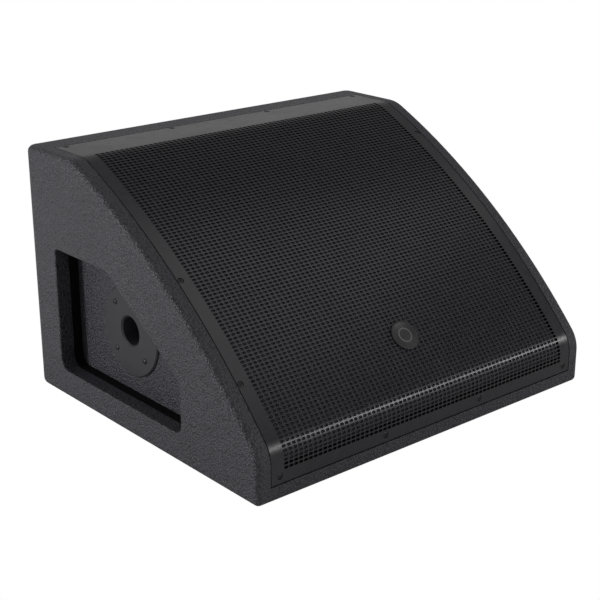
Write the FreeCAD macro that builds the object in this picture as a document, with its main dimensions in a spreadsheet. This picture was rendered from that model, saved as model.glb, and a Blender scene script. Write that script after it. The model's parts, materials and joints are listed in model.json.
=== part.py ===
import FreeCAD, Part
import math
import os
import Sketcher
from FreeCAD import Placement, Rotation, Vector

# Stage monitor wedge. Frame: +X to the right seen from the grille, the grille faces -Y, +Z up.
# The origin is on the floor, under the centre of the cabinet. Millimetres.

SIZES = {
    # cabinet
    "cabinet_width": 536.0, "cabinet_depth": 459.0, "cabinet_height": 318.0, "foot_height": 3.0,
    "top_flat": 101.7, "top_bend": 52.9, "slope_radius": 976.4, "front_bend": 42.8, "front_flat": 43.0,
    "side_panel": 19.0, "rear_panel": 18.0, "top_panel_reach": 94.5,
    "rim_round": 7.0, "rear_corner": 18.0, "rear_top_round": 14.0, "rear_bottom_round": 12.0,
    # grille and what it is screwed to
    "grille_thickness": 2.0, "grille_gap": 1.0, "grille_setback": 45.0, "grille_sill_gap": 1.3,
    "foam_thickness": 6.0, "foam_sill": 42.5, "rail_width": 20.0, "rail_depth": 9.5, "front_rail_depth": 36.0,
    "foam_gap": 0.5, "screw_from_side": 31.6, "screw_from_sill": 9.0, "screw_from_top_gap": 7.0,
    "row_screw_pitch": 157.6,
    "side_screw_first": 185.5, "side_screw_pitch": 139.5, "side_screw_edge": 4.4,
    "badge_radius": 19.0, "badge_thickness": 1.6, "badge_run": 470.6, "badge_edge": 0.9,
    "badge_lift": 0.35,
    # hand recesses, one in each side
    "recess_depth": 32.0, "recess_rear_margin": 62.3, "recess_front_margin": 138.5, "recess_floor": 36.8,
    "recess_height": 159.7, "recess_front_drop": 47.0, "recess_rear_drop": 63.0, "recess_corner": 13.0,
    "recess_top_corner": 6.0, "recess_border": 12.0, "recess_plate": 12.0, "window_round": 2.0,
    # pole socket
    "pole_bore": 18.0, "pole_wall": 4.0, "pole_length": 82.0, "pole_flange": 57.1,
    "pole_flange_thickness": 3.0, "pole_flange_round": 1.5,
    "pole_mouth_round": 2.0, "pole_floor": 4.0, "pole_from_rear": 117.4, "pole_from_floor": 78.1,
    "pole_screw_circle": 42.3,
    # baffle, ports and the batten round the baffle
    "baffle_thickness": 18.0, "baffle_rise": 0.46, "baffle_end": 12.5, "cleat": 18.0, "cleat_end": 40.0,
    "port_radius": 28.0, "port_wall": 3.0, "port_length": 60.0, "port_from_side": 63.0, "port_from_end": 60.0,
    "port_lip": 4.0, "port_lip_thickness": 2.5,
    # two-way coaxial driver, radii and depths along its own axis
    "driver_radius": 156.0, "cutout_edge": 14.0, "cutout_gap": 2.0, "flange_thickness": 5.0,
    "flange_width": 22.0, "basket_wall": 4.0, "magnet_step": 4.0,
    "basket_depth": 75.0, "basket_neck": 86.0, "driver_screw_edge": 6.0, "basket_window": 52.0,
    "gasket_width": 9.0, "gasket_thickness": 3.0, "roll_radius": 8.0, "roll_wall": 1.2, "cone_wall": 1.2,
    "coil_radius": 38.0, "former_wall": 0.4, "winding_wall": 0.9, "coil_gap": 0.7, "cone_rise": 46.0,
    "spider_radius": 74.0, "spider_level": 54.0, "spider_wall": 1.0, "plate_thickness": 8.0,
    "magnet_radius": 88.0, "magnet_bore": 50.0, "magnet_thickness": 20.0, "throat_radius": 18.0,
    "horn_mouth": 33.0, "horn_rise": 42.0, "horn_wall": 2.0, "compression_radius": 44.0,
    "compression_depth": 36.0,
    # amplifier panel and what is on it
    "amp_panel": 2.0, "amp_panel_gap": 1.0, "amp_cutout_inset": 15.0, "amp_cutout_corner": 5.0,
    "amp_screw_inset": 7.0, "socket_hole": 12.2,
    "socket_flange_wide": 26.0, "socket_flange_tall": 31.0, "socket_flange": 2.0, "socket_barrel": 11.9,
    "socket_bore": 9.6, "socket_depth": 24.0, "socket_row": 88.0, "input_from_rear": 105.0,
    "socket_spacing": 40.0, "latch_wide": 8.0, "latch_tall": 4.6, "latch_length": 6.0, "latch_proud": 2.6,
    "inlet_wide": 30.0, "inlet_tall": 24.0, "inlet_flange_wide": 50.0,
    "inlet_depth": 24.0, "inlet_from_rear": 46.0, "inlet_row": 36.0, "switch_wide": 15.0,
    "switch_tall": 21.0, "switch_depth": 16.0, "switch_from_inlet": 43.0, "rocker_swing": 8.0,
    "knob_radius": 9.0, "knob_height": 14.0, "knob_from_rear": 178.0, "knob_row": 74.0, "pot_size": 17.0,
    "shaft_radius": 3.0, "button_radius": 4.0, "button_height": 4.5,
    "button_from_knob": 30.0, "button_row": 48.0, "lens_radius": 2.4, "lens_spacing": 14.0,
    "heatsink_wide": 66.0, "heatsink_tall": 48.0, "heatsink_base": 3.0, "fin_height": 13.0, "fin_wall": 2.0,
    "fin_count": 11.0, "heatsink_from_rear": 12.0, "heatsink_from_top": 12.0, "board_thickness": 1.6,
    "board_gap": 44.0, "amp_board_wide": 130.0, "amp_board_tall": 52.0, "standoff_radius": 3.0,
    # feet, lining and fasteners
    "foot_radius": 20.0, "foot_inset": 52.0, "foot_screw_hole": 4.6, "lining_thickness": 20.0,
    "lining_margin": 40.0, "lining_from_side": 70.0, "clearance": 0.3,
    "grille_screw_head": 3.5, "grille_screw_shank": 1.7, "grille_screw_length": 10.5,
    "panel_screw_head": 3.6, "panel_screw_dome": 1.6, "panel_screw_shank": 1.8, "panel_screw_length": 11.0,
    "small_screw_head": 2.6, "small_screw_dome": 1.2, "small_screw_shank": 1.4, "small_screw_length": 7.0,
    "driver_screw_head": 4.4, "driver_screw_dome": 3.0, "driver_screw_shank": 2.4,
    "driver_screw_length": 20.0,
}


class Size:
    """A length: the spreadsheet expression that binds it, and its present value."""

    def __init__(self, text, value):
        self.text = text
        self.value = value

    def _join(self, sign, other, value):
        return Size("(%s %s %s)" % (self.text, sign, _size(other).text), value)

    def __add__(self, other):
        return self._join("+", other, self.value + _size(other).value)

    def __sub__(self, other):
        return self._join("-", other, self.value - _size(other).value)

    def __rsub__(self, other):
        return _size(other) - self

    def __mul__(self, other):
        return self._join("*", other, self.value * _size(other).value)

    def __truediv__(self, other):
        return self._join("/", other, self.value / _size(other).value)

    def __neg__(self):
        return Size("(0 - %s)" % self.text, -self.value)

    def root(self):
        """The square root of this size."""
        return Size("sqrt(%s)" % self.text, math.sqrt(self.value))


def _size(value):
    """A plain number as a size."""
    if isinstance(value, Size):
        return value
    return Size("(%r)" % float(value), float(value))


class Profile:
    """The side outline: top flat, three arcs that run into each other, and the front flat."""

    def __init__(self, sizes):
        half = sizes["cabinet_depth"] / 2
        self.top = sizes["foot_height"] + sizes["cabinet_height"]
        self.base = sizes["foot_height"]
        self.rear = half
        self.radii = (sizes["top_bend"], sizes["slope_radius"], sizes["front_bend"])
        first = (half - sizes["top_flat"], self.top - self.radii[0])
        last = (-half + self.radii[2], self.base + sizes["front_flat"])
        middle = self._middle_centre(first, last)
        self.centres = (first, middle, last)
        turn_in = math.degrees(math.atan2(middle[0] - first[0], first[1] - middle[1]))
        turn_out = math.degrees(math.atan2(middle[0] - last[0], last[1] - middle[1]))
        self.turns = (0.0, turn_in, turn_out, 90.0)
        self.front_flat = sizes["front_flat"]
        self.top_flat = sizes["top_flat"]

    def _middle_centre(self, first, last):
        """The centre of the long arc, which touches both bends."""
        reach_first = self.radii[1] - self.radii[0]
        reach_last = self.radii[1] - self.radii[2]
        along = (last[0] - first[0], last[1] - first[1])
        apart = math.hypot(*along)
        share = (reach_first ** 2 - reach_last ** 2 + apart ** 2) / (2 * apart)
        height = math.sqrt(reach_first ** 2 - share ** 2)
        unit = (along[0] / apart, along[1] / apart)
        return (first[0] + share * unit[0] - height * unit[1], first[1] + share * unit[1] + height * unit[0])

    def on_arc(self, index, turn, inset=0.0):
        """The point (y, z) on an arc where the outline has turned this far from level."""
        centre = self.centres[index]
        radius = self.radii[index] - inset
        angle = math.radians(turn)
        return (centre[0] - radius * math.sin(angle), centre[1] + radius * math.cos(angle))

    def at_run(self, run):
        """The point (y, z) and the turn in degrees, this far along the outline from its rear edge."""
        if run <= self.top_flat:
            return (self.rear - run, self.top), 0.0
        left = run - self.top_flat
        for index in range(3):
            length = self.radii[index] * math.radians(self.turns[index + 1] - self.turns[index])
            if left <= length:
                turn = self.turns[index] + math.degrees(left / self.radii[index])
                return self.on_arc(index, turn), turn
            left -= length
        return (-self.rear, self.base + self.front_flat - left), 90.0

    def chord(self):
        """Middle (y, z), angle below level in degrees and length of the long arc's chord."""
        upper = self.on_arc(1, self.turns[1])
        lower = self.on_arc(1, self.turns[2])
        run = math.hypot(upper[0] - lower[0], upper[1] - lower[1])
        angle = math.degrees(math.atan2(upper[1] - lower[1], upper[0] - lower[0]))
        return ((upper[0] + lower[0]) / 2, (upper[1] + lower[1]) / 2), angle, run


doc = FreeCAD.newDocument("stage_monitor_wedge")
profile = Profile(SIZES)
(chord_y, chord_z), slope_angle, chord_length = profile.chord()
DERIVED = {"chord_length": chord_length}


def fill_sheet():
    """Write the driving sizes, and the chord of the long arc, into the spreadsheet."""
    sheet = doc.addObject("Spreadsheet::Sheet", "sizes")
    for row, (name, value) in enumerate({**SIZES, **DERIVED}.items(), 1):
        sheet.set("A%d" % row, name)
        sheet.set("B%d" % row, repr(value))
        sheet.setAlias("B%d" % row, name)
    doc.recompute()


def size(name):
    """The named size."""
    return Size("sizes." + name, {**SIZES, **DERIVED}[name])


# places that many pieces share
HALF_WIDTH = size("cabinet_width") / 2
INNER = HALF_WIDTH - size("side_panel")
REAR = size("cabinet_depth") / 2
INNER_REAR = REAR - size("rear_panel")
BASE = size("foot_height")
TOP = BASE + size("cabinet_height")
FLOOR = BASE + size("side_panel")
GRILLE_HALF = INNER - size("grille_gap")
GRILLE_LOW = FLOOR + size("grille_sill_gap")
FOAM_LOW = BASE + size("foam_sill") - size("foam_gap")
FOAM_BACK = size("grille_thickness") + size("foam_thickness")
AMP_FACE = HALF_WIDTH - size("recess_depth") + size("amp_panel")
PLATE_BACK = size("recess_depth") + size("recess_plate")
RECESS_REAR = REAR - size("recess_rear_margin")
RECESS_FLOOR = BASE + size("recess_floor")
RECESS_TOP = RECESS_FLOOR + size("recess_height")


# ---- small tools -------------------------------------------------------------------------------

def bind(item, prop, value):
    """Bind one property of an object to a size."""
    item.setExpression(prop, _size(value).text)


def place(item, corner):
    """Bind an object's position."""
    for axis, value in zip("xyz", corner):
        bind(item, "Placement.Base." + axis, value)


def box(name, low, spans):
    """A box from its lowest corner and its spans along X, Y and Z."""
    item = doc.addObject("Part::Box", name)
    for prop, value in zip(("Length", "Width", "Height"), spans):
        bind(item, prop, value)
    place(item, low)
    return item


def bar(name, x_low, middle_y, middle_z, spans):
    """A box centred on a point of the side view, starting at x_low."""
    return box(name, (x_low, middle_y - spans[1] / 2, middle_z - spans[2] / 2), spans)


def rod(name, x_low, middle_y, middle_z, length, radius):
    """A cylinder along +X."""
    item = doc.addObject("Part::Cylinder", name)
    item.Placement.Rotation = Rotation(Vector(0, 1, 0), 90)
    bind(item, "Radius", radius)
    bind(item, "Height", length)
    place(item, (x_low, middle_y, middle_z))
    return item


def fuse(name, *items):
    """One solid from several."""
    item = doc.addObject("Part::MultiFuse", name)
    item.Shapes = list(items)
    item.Refine = True
    return item


def cut(name, base, *tools):
    """A base with the tools taken away."""
    item = doc.addObject("Part::Cut", name)
    item.Base = base
    item.Tool = tools[0] if len(tools) == 1 else group(name + "_tools", *tools)
    return item


def common(name, first, second):
    """What two solids share."""
    item = doc.addObject("Part::MultiCommon", name)
    item.Shapes = [first, second]
    return item


def group(name, *items):
    """Several separate solids kept together."""
    item = doc.addObject("Part::Compound", name)
    item.Links = list(items)
    return item


def new_body(name):
    """An empty PartDesign body."""
    return doc.addObject("PartDesign::Body", name)


def new_sketch(body, name, role):
    """A sketch on one of the body's own origin planes."""
    sketch = body.newObject("Sketcher::SketchObject", name)
    plane = next(item for item in body.Origin.OriginFeatures if item.Role == role)
    sketch.AttachmentSupport = [(plane, "")]
    sketch.MapMode = "FlatFace"
    return sketch


def hold(sketch, kind, geometry, point, value):
    """Fix a point's coordinate, with kind DistanceX or DistanceY, to a size."""
    value = _size(value)
    index = sketch.addConstraint(Sketcher.Constraint(kind, -1, 1, geometry, point, value.value))
    sketch.setExpression("Constraints[%d]" % index, value.text)


def add_loop(sketch, corners):
    """A closed loop of straight lines whose corners are sizes."""
    first = sketch.GeometryCount
    points = [Vector(_size(across).value, _size(up).value, 0) for across, up in corners]
    for start, end in zip(points, points[1:] + points[:1]):
        sketch.addGeometry(Part.LineSegment(start, end), False)
    for index in range(len(corners)):
        following = (index + 1) % len(corners)
        sketch.addConstraint(Sketcher.Constraint("Coincident", first + index, 2, first + following, 1))
    for index, (across, up) in enumerate(corners):
        hold(sketch, "DistanceX", first + index, 1, across)
        hold(sketch, "DistanceY", first + index, 1, up)


def add_circle(sketch, across, up, radius):
    """A circle whose centre and radius are sizes."""
    across, up, radius = _size(across), _size(up), _size(radius)
    circle = Part.Circle(Vector(across.value, up.value, 0), Vector(0, 0, 1), radius.value)
    index = sketch.addGeometry(circle, False)
    hold(sketch, "DistanceX", index, 3, across)
    hold(sketch, "DistanceY", index, 3, up)
    round_size = sketch.addConstraint(Sketcher.Constraint("Radius", index, radius.value))
    sketch.setExpression("Constraints[%d]" % round_size, radius.text)


def pad(body, sketch, length, downward=False):
    """Thicken a sketch."""
    feature = body.newObject("PartDesign::Pad", body.Name + "_pad")
    feature.Profile = sketch
    feature.Reversed = downward
    bind(feature, "Length", length)
    return feature


def revolve(name, corners):
    """A turned body: its half section as (radius, height) corners, turned about its own Z axis."""
    body = new_body(name)
    sketch = new_sketch(body, name + "_section", "XZ_Plane")
    add_loop(sketch, corners)
    feature = body.newObject("PartDesign::Revolution", name + "_turned")
    feature.Profile = sketch
    feature.ReferenceAxis = (sketch, ["V_Axis"])
    feature.Angle = 360.0
    return body


def dress(body, base, kind, edges, amount):
    """A PartDesign fillet or chamfer on the chosen edges."""
    doc.recompute()
    feature = body.newObject("PartDesign::" + kind, body.Name + "_" + kind.lower() + str(len(body.Group)))
    chosen = ["Edge%d" % number for number, edge in enumerate(base.Shape.Edges, 1) if edges(edge)]
    feature.Base = (base, chosen)
    bind(feature, "Radius" if kind == "Fillet" else "Size", amount)
    return feature


def turned_to(direction, centre):
    """A placement that points local +Z along a direction, at a centre."""
    return Placement(Vector(*centre), Rotation(Vector(0, 0, 1), Vector(*direction)))


def copies(name, pattern, places):
    """One node of identical solids, one at each placement."""
    doc.recompute()
    item = doc.addObject("Part::Feature", name)
    shapes = []
    for where in places:
        shape = pattern.Shape.copy()
        shape.Placement = where.multiply(pattern.Placement)
        shapes.append(shape)
    item.Shape = Part.makeCompound(shapes)
    return item


def screw(name):
    """A domed screw whose head's underside is at local z = 0, its shank pointing down."""
    head, dome = size(name + "_head"), size(name + "_dome")
    shank, length = size(name + "_shank"), size(name + "_length")
    corners = [(0, dome), (head * 0.5, dome), (head * 0.9, dome * 0.6), (head, 0), (shank, 0),
               (shank, -length), (0, -length)]
    return revolve(name + "_pattern", corners)


def countersunk_screw(name):
    """A screw whose flat head is flush with local z = 0, its shank pointing down."""
    head, shank, length = size(name + "_head"), size(name + "_shank"), size(name + "_length")
    corners = [(0, 0), (head, 0), (shank, shank - head), (shank, -length), (0, -length)]
    return revolve(name + "_pattern", corners)


# ---- outline sketches --------------------------------------------------------------------------

def add_chain(sketch, inset, start_y, end_z):
    """The side outline, moved inwards by inset, from start_y on the top to end_z on the front."""
    first = sketch.GeometryCount
    inset = _size(inset)
    top_z = profile.top - inset.value
    front_y = -profile.rear + inset.value
    flat_end = Vector(profile.centres[0][0], top_z, 0)
    flat_top = Vector(front_y, profile.base + profile.front_flat, 0)
    sketch.addGeometry(Part.LineSegment(Vector(start_y.value, top_z, 0), flat_end), False)
    for index in range(3):
        radius = profile.radii[index] - inset.value
        circle = Part.Circle(Vector(*profile.centres[index], 0), Vector(0, 0, 1), radius)
        start = math.radians(90 + profile.turns[index])
        end = math.radians(90 + profile.turns[index + 1])
        sketch.addGeometry(Part.ArcOfCircle(circle, start, end), False)
    sketch.addGeometry(Part.LineSegment(flat_top, Vector(front_y, end_z.value, 0)), False)
    sketch.addConstraint(Sketcher.Constraint("Horizontal", first))
    sketch.addConstraint(Sketcher.Constraint("Vertical", first + 4))
    for index in range(4):
        sketch.addConstraint(Sketcher.Constraint("Tangent", first + index, 2, first + index + 1, 1))
    for index, name in enumerate(("top_bend", "slope_radius", "front_bend")):
        radius = size(name) - inset
        number = sketch.addConstraint(Sketcher.Constraint("Radius", first + 1 + index, radius.value))
        sketch.setExpression("Constraints[%d]" % number, radius.text)
    hold(sketch, "DistanceX", first, 1, start_y)
    hold(sketch, "DistanceY", first, 1, TOP - inset)
    hold(sketch, "DistanceX", first, 2, REAR - size("top_flat"))
    hold(sketch, "DistanceX", first + 4, 1, inset - REAR)
    hold(sketch, "DistanceY", first + 4, 1, BASE + size("front_flat"))
    hold(sketch, "DistanceY", first + 4, 2, end_z)
    return first


def join(sketch, start, start_point, end, end_point):
    """A straight line between two ends that the sketch already holds."""
    points = [sketch.getPoint(start, start_point), sketch.getPoint(end, end_point)]
    index = sketch.addGeometry(Part.LineSegment(*points), False)
    sketch.addConstraint(Sketcher.Constraint("Coincident", start, start_point, index, 1))
    sketch.addConstraint(Sketcher.Constraint("Coincident", index, 2, end, end_point))
    return index


def strip(name, outer, inner, start_y, end_z, half_width, low_x=None):
    """A sheet that follows the outline between two insets, across the cabinet."""
    body = new_body(name)
    sketch = new_sketch(body, name + "_outline", "YZ_Plane")
    first = add_chain(sketch, outer, start_y, end_z)
    second = add_chain(sketch, inner, start_y, end_z)
    join(sketch, first, 1, second, 1)
    join(sketch, first + 4, 2, second + 4, 2)
    pad(body, sketch, half_width * 2)
    bind(body, "Placement.Base.x", -half_width if low_x is None else low_x)
    return body


def recess_corners(grow):
    """The hand recess seen from the side, as (y, z) corners, made larger all round by grow."""
    grow = _size(grow)
    front = size("recess_front_margin") - REAR
    slope_rise = size("cabinet_height") - size("front_flat")
    slope = slope_rise / (size("cabinet_depth") - size("top_flat"))
    front_top = BASE + size("front_flat") + slope * (front + REAR) - size("recess_front_drop")
    slope_end = (RECESS_TOP - BASE + size("recess_rear_drop") - size("front_flat")) / slope - REAR
    lean = (RECESS_TOP - front_top) / (slope_end - front)
    stretch = (lean * lean + 1).root()
    return [(RECESS_REAR + grow, RECESS_FLOOR - grow), (front - grow, RECESS_FLOOR - grow),
            (front - grow, front_top - lean * grow + stretch * grow),
            (front + (RECESS_TOP + grow - stretch * grow - front_top) / lean, RECESS_TOP + grow),
            (RECESS_REAR + grow, RECESS_TOP + grow)]


def recess_slab(name, grow, low_x, thickness, corner=None):
    """A slab with the outline of the hand recess; its corners follow the recess's unless one is given."""
    body = new_body(name)
    sketch = new_sketch(body, name + "_outline", "YZ_Plane")
    corners = recess_corners(grow)
    add_loop(sketch, corners)
    base = pad(body, sketch, thickness)
    bind(body, "Placement.Base.x", low_x)
    for numbers, radius in (((0, 1, 2), size("recess_corner")), ((3, 4), size("recess_top_corner"))):
        points = [(corners[number][0].value, corners[number][1].value) for number in numbers]

        def at_corner(edge, points=points):
            middle = edge.CenterOfMass
            ends_apart = edge.Vertexes[0].Point.distanceToPoint(edge.Vertexes[-1].Point)
            along_x = abs(ends_apart - thickness.value) < 1e-6
            return along_x and any(math.hypot(middle.y - y, middle.z - z) < 1e-3 for y, z in points)

        base = dress(body, base, "Fillet", at_corner, radius + _size(grow) if corner is None else corner)
    return body


# ---- cabinet -----------------------------------------------------------------------------------

def cabinet_form():
    """The outer form of the whole cabinet with its edges rounded; the panels are cut from it."""
    body = new_body("cabinet_form")
    sketch = new_sketch(body, "cabinet_outline", "YZ_Plane")
    first = add_chain(sketch, 0, REAR, BASE)
    foot = sketch.addGeometry(Part.LineSegment(Vector(-profile.rear, profile.base, 0),
                                               Vector(profile.rear, profile.base, 0)), False)
    sketch.addConstraint(Sketcher.Constraint("Coincident", first + 4, 2, foot, 1))
    sketch.addConstraint(Sketcher.Constraint("Horizontal", foot))
    hold(sketch, "DistanceX", foot, 2, REAR)
    join(sketch, foot, 2, first, 1)
    pad(body, sketch, size("cabinet_width"))
    bind(body, "Placement.Base.x", -HALF_WIDTH)
    doc.recompute()
    rounded = doc.addObject("Part::Fillet", "cabinet_rounded")
    rounded.Base = body
    rounded.Edges = [(number, radius, radius) for number, radius in form_edges(body.Shape)]
    return rounded


def form_edges(shape):
    """Every edge of the cabinet form that is rounded, with its radius."""
    for number, edge in enumerate(shape.Edges, 1):
        extent = edge.BoundBox
        at_rear = extent.YMin > profile.rear - 1e-6
        at_base = extent.ZMax < profile.base + 1e-6
        if extent.XLength < 1e-6:
            yield number, SIZES["rear_corner" if at_rear else "rim_round"]
        elif at_rear:
            yield number, SIZES["rear_bottom_round" if at_base else "rear_top_round"]
        elif at_base:
            yield number, SIZES["rim_round"]


def side_panel(side, form):
    """A side of the cabinet, with the window of its hand recess."""
    low = -HALF_WIDTH if side == "left" else INNER
    slab = box(side + "_slab", (low, -REAR, BASE), (size("side_panel"), REAR * 2, size("cabinet_height")))
    window = recess_slab(side + "_window", 0, low, size("side_panel"))
    plain = cut(side + "_side_plain", common(side + "_side_blank", form, slab), window)
    doc.recompute()
    panel = doc.addObject("Part::Fillet", "side_panel_" + side)
    panel.Base = plain
    outer_x = -profile_half_width() if side == "left" else profile_half_width()
    rim = [number for number, edge in enumerate(plain.Shape.Edges, 1) if on_window_rim(edge, outer_x)]
    panel.Edges = [(number, SIZES["window_round"], SIZES["window_round"]) for number in rim]
    return panel


def profile_half_width():
    """Half the cabinet's width as a number."""
    return SIZES["cabinet_width"] / 2


def on_window_rim(edge, outer_x):
    """Whether an edge lies on the outer face, on the rim of the recess window."""
    extent = edge.BoundBox
    inside = extent.ZMin > RECESS_FLOOR.value - 0.5 and extent.ZMax < RECESS_TOP.value + 0.5
    within = extent.YMax < RECESS_REAR.value + 0.5 and extent.YMin > recess_corners(0)[1][0].value - 0.5
    return inside and within and abs(extent.XMin - outer_x) < 1e-4 and abs(extent.XMax - outer_x) < 1e-4


def rear_panel(form):
    """The upright board across the back."""
    slab = box("rear_slab", (-INNER, INNER_REAR, BASE),
               (INNER * 2, size("rear_panel"), size("cabinet_height")))
    return common("rear_panel", form, slab)


def bottom_panel(form):
    """The floor board, whose front edge shows under the grille."""
    slab = box("bottom_slab", (-INNER, -REAR, BASE), (INNER * 2, REAR + INNER_REAR, size("side_panel")))
    return common("bottom_board", form, slab)


def top_panel(form):
    """The board behind the grille's rear edge, with a rebate that the grille lies in."""
    front = REAR - size("top_panel_reach")
    slab = box("top_slab", (-INNER, front, TOP - size("side_panel")),
               (INNER * 2, INNER_REAR - front, size("side_panel")))
    rebate = box("top_rebate", (-INNER, front, TOP - size("grille_thickness")),
                 (INNER * 2, size("top_panel_reach") - size("grille_setback"), size("grille_thickness")))
    return cut("top_panel_blank", common("top_board", form, slab), rebate)


def grille_screw_places():
    """Where the grille's screws go: a row at the top, a row at the sill and a column at each side."""
    half = GRILLE_HALF.value
    end = profile_half_width() - SIZES["screw_from_side"]
    sill_z = GRILLE_LOW.value + SIZES["screw_from_sill"]
    top_y = profile.rear - SIZES["grille_setback"] - SIZES["screw_from_top_gap"]
    places = []
    for x in (-end, -SIZES["row_screw_pitch"] / 2, SIZES["row_screw_pitch"] / 2, end):
        places.append(turned_to((0, -1, 0), (x, -profile.rear, sill_z)))
        places.append(turned_to((0, 0, 1), (x, top_y, profile.top)))
    for x in (-half + SIZES["side_screw_edge"], half - SIZES["side_screw_edge"]):
        for number in range(3):
            (y, z), turn = profile.at_run(SIZES["side_screw_first"] + number * SIZES["side_screw_pitch"])
            angle = math.radians(turn)
            places.append(turned_to((0, -math.sin(angle), math.cos(angle)), (x, y, z)))
    return places


def grille(screws):
    """The curved steel grille as a plain sheet, drilled for its screws."""
    start = REAR - size("grille_setback") - size("grille_gap")
    sheet = strip("grille_sheet", 0, size("grille_thickness"), start, GRILLE_LOW, GRILLE_HALF)
    return cut("grille", sheet, screws)


def grille_foam():
    """The acoustic foam behind the grille."""
    start = REAR - size("top_panel_reach") - size("clearance")
    half = INNER - size("rail_width") - size("clearance")
    return strip("grille_foam", size("grille_thickness"), FOAM_BACK, start, FOAM_LOW, half)


def grille_rail(side, screws):
    """A curved batten along a side panel that the grille's edge is screwed to."""
    low = -INNER if side == "left" else INNER - size("rail_width")
    start = REAR - size("top_panel_reach") - size("clearance")
    inner = size("grille_thickness") + size("rail_depth")
    rail = strip(side + "_rail_blank", size("grille_thickness"), inner, start, FOAM_LOW,
                 size("rail_width") / 2, low)
    return cut("grille_rail_" + side, rail, screws)


def front_rail(screws):
    """The batten on the floor board that the grille's lower edge is screwed to."""
    block = box("front_rail_blank", (-INNER, size("grille_thickness") - REAR, FLOOR),
                (INNER * 2, size("front_rail_depth"), FOAM_LOW - size("foam_gap") - FLOOR))
    return cut("front_rail", block, screws)


def badge():
    """The round plain badge that stands on the grille."""
    radius, thick, edge = size("badge_radius"), size("badge_thickness"), size("badge_edge")
    corners = [(0, 0), (radius, 0), (radius, thick - edge), (radius - edge, thick), (0, thick)]
    body = revolve("grille_badge", corners)
    (y, z), turn = profile.at_run(SIZES["badge_run"])
    angle = math.radians(turn)
    normal = (0, -math.sin(angle), math.cos(angle))
    lift = SIZES["badge_lift"]
    body.Placement = turned_to(normal, (0, y + normal[1] * lift, z + normal[2] * lift))
    return body


def recess_frame(side):
    """The ring that makes the walls of a hand recess behind the side panel."""
    thickness = size("recess_depth") - size("side_panel")
    low = -INNER if side == "left" else INNER - thickness
    ring = recess_slab(side + "_frame_blank", size("recess_border"), low, thickness)
    hollow = recess_slab(side + "_frame_hollow", 0, low, thickness)
    return cut("recess_frame_" + side, ring, hollow)


def recess_plate(side, *tools):
    """The board that closes a hand recess."""
    low = size("recess_depth") - HALF_WIDTH if side == "left" else HALF_WIDTH - PLATE_BACK
    plate = recess_slab(side + "_plate_blank", size("recess_border"), low, size("recess_plate"))
    return cut("recess_plate_" + side, plate, *tools)


# ---- pole socket -------------------------------------------------------------------------------

POLE_Y = RECESS_REAR - size("pole_from_rear")
POLE_Z = RECESS_FLOOR + size("pole_from_floor")
POLE_FACE = size("recess_depth") - HALF_WIDTH


def pole_socket():
    """A flanged tube, closed at its end, that a speaker pole goes into."""
    bore, wall, mouth = size("pole_bore"), size("pole_wall"), size("pole_mouth_round")
    flange, thick, depth = size("pole_flange"), size("pole_flange_thickness"), size("pole_length")
    edge = size("pole_flange_round")
    corners = [(0, -depth), (bore, -depth), (bore, thick - mouth), (bore + mouth, thick),
               (flange - edge, thick), (flange, thick - edge), (flange, 0), (bore + wall, 0),
               (bore + wall, -depth - size("pole_floor")), (0, -depth - size("pole_floor"))]
    body = revolve("pole_socket_blank", corners)
    body.Placement = turned_to((-1, 0, 0), (POLE_FACE.value, POLE_Y.value, POLE_Z.value))
    return body


def pole_screw_places():
    """Four screws on the flange's diagonals."""
    reach = SIZES["pole_screw_circle"] / math.sqrt(2)
    face = POLE_FACE.value - SIZES["pole_flange_thickness"]
    return [turned_to((-1, 0, 0), (face, POLE_Y.value + across * reach, POLE_Z.value + up * reach))
            for across in (-1, 1) for up in (-1, 1)]


# ---- baffle and driver, in the slope's own frame: x right, y up the slope, z outwards ------------

def slope_placement():
    """The frame at the middle of the baffle's front face, sunk so that the driver's rim clears the arc."""
    angle = math.radians(slope_angle)
    offset = SIZES["driver_radius"] ** 2 / (2 * SIZES["slope_radius"]) - SIZES["baffle_rise"]
    centre = Vector(0, chord_y + offset * math.sin(angle), chord_z - offset * math.cos(angle))
    return Placement(centre, Rotation(Vector(1, 0, 0), slope_angle))


SLOPE = slope_placement()
BAFFLE_HALF = size("chord_length") / 2 - size("baffle_end")
PORT_X = INNER - size("port_from_side")
PORT_Y = size("port_from_end") - BAFFLE_HALF
CUTOUT = size("driver_radius") - size("cutout_edge")
SCREW_CIRCLE = size("driver_radius") - size("driver_screw_edge")
COIL = size("coil_radius")
TOP_PLATE = -size("basket_depth")
MAGNET_TOP = TOP_PLATE - size("plate_thickness")
MAGNET_LOW = MAGNET_TOP - size("magnet_thickness")
MOTOR_END = MAGNET_LOW - size("plate_thickness")
FLANGE_BORE = size("driver_radius") - size("flange_width")
ROLL_MIDDLE = FLANGE_BORE - size("roll_radius")
CONE_RIM = ROLL_MIDDLE - size("roll_radius") - 1
FLANGE_TOP = size("flange_thickness")


def baffle(*tools):
    """The board that carries the driver and the ports."""
    body = new_body("baffle_board")
    sketch = new_sketch(body, "baffle_outline", "XY_Plane")
    add_loop(sketch, [(-INNER, -BAFFLE_HALF), (INNER, -BAFFLE_HALF), (INNER, BAFFLE_HALF),
                      (-INNER, BAFFLE_HALF)])
    add_circle(sketch, 0, 0, CUTOUT)
    for sign in (-1, 1):
        add_circle(sketch, PORT_X * sign, PORT_Y, size("port_radius") + size("port_wall"))
    pad(body, sketch, size("baffle_thickness"), downward=True)
    body.Placement = SLOPE
    return cut("baffle", body, *tools)


def cleat(name, low_y, span_y, low_z, span_z, board):
    """A batten across the cabinet, shaped to the baffle's end."""
    blank = box(name + "_blank", (-INNER, low_y, low_z), (INNER * 2, span_y, span_z))
    return cut(name, blank, board)


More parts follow.
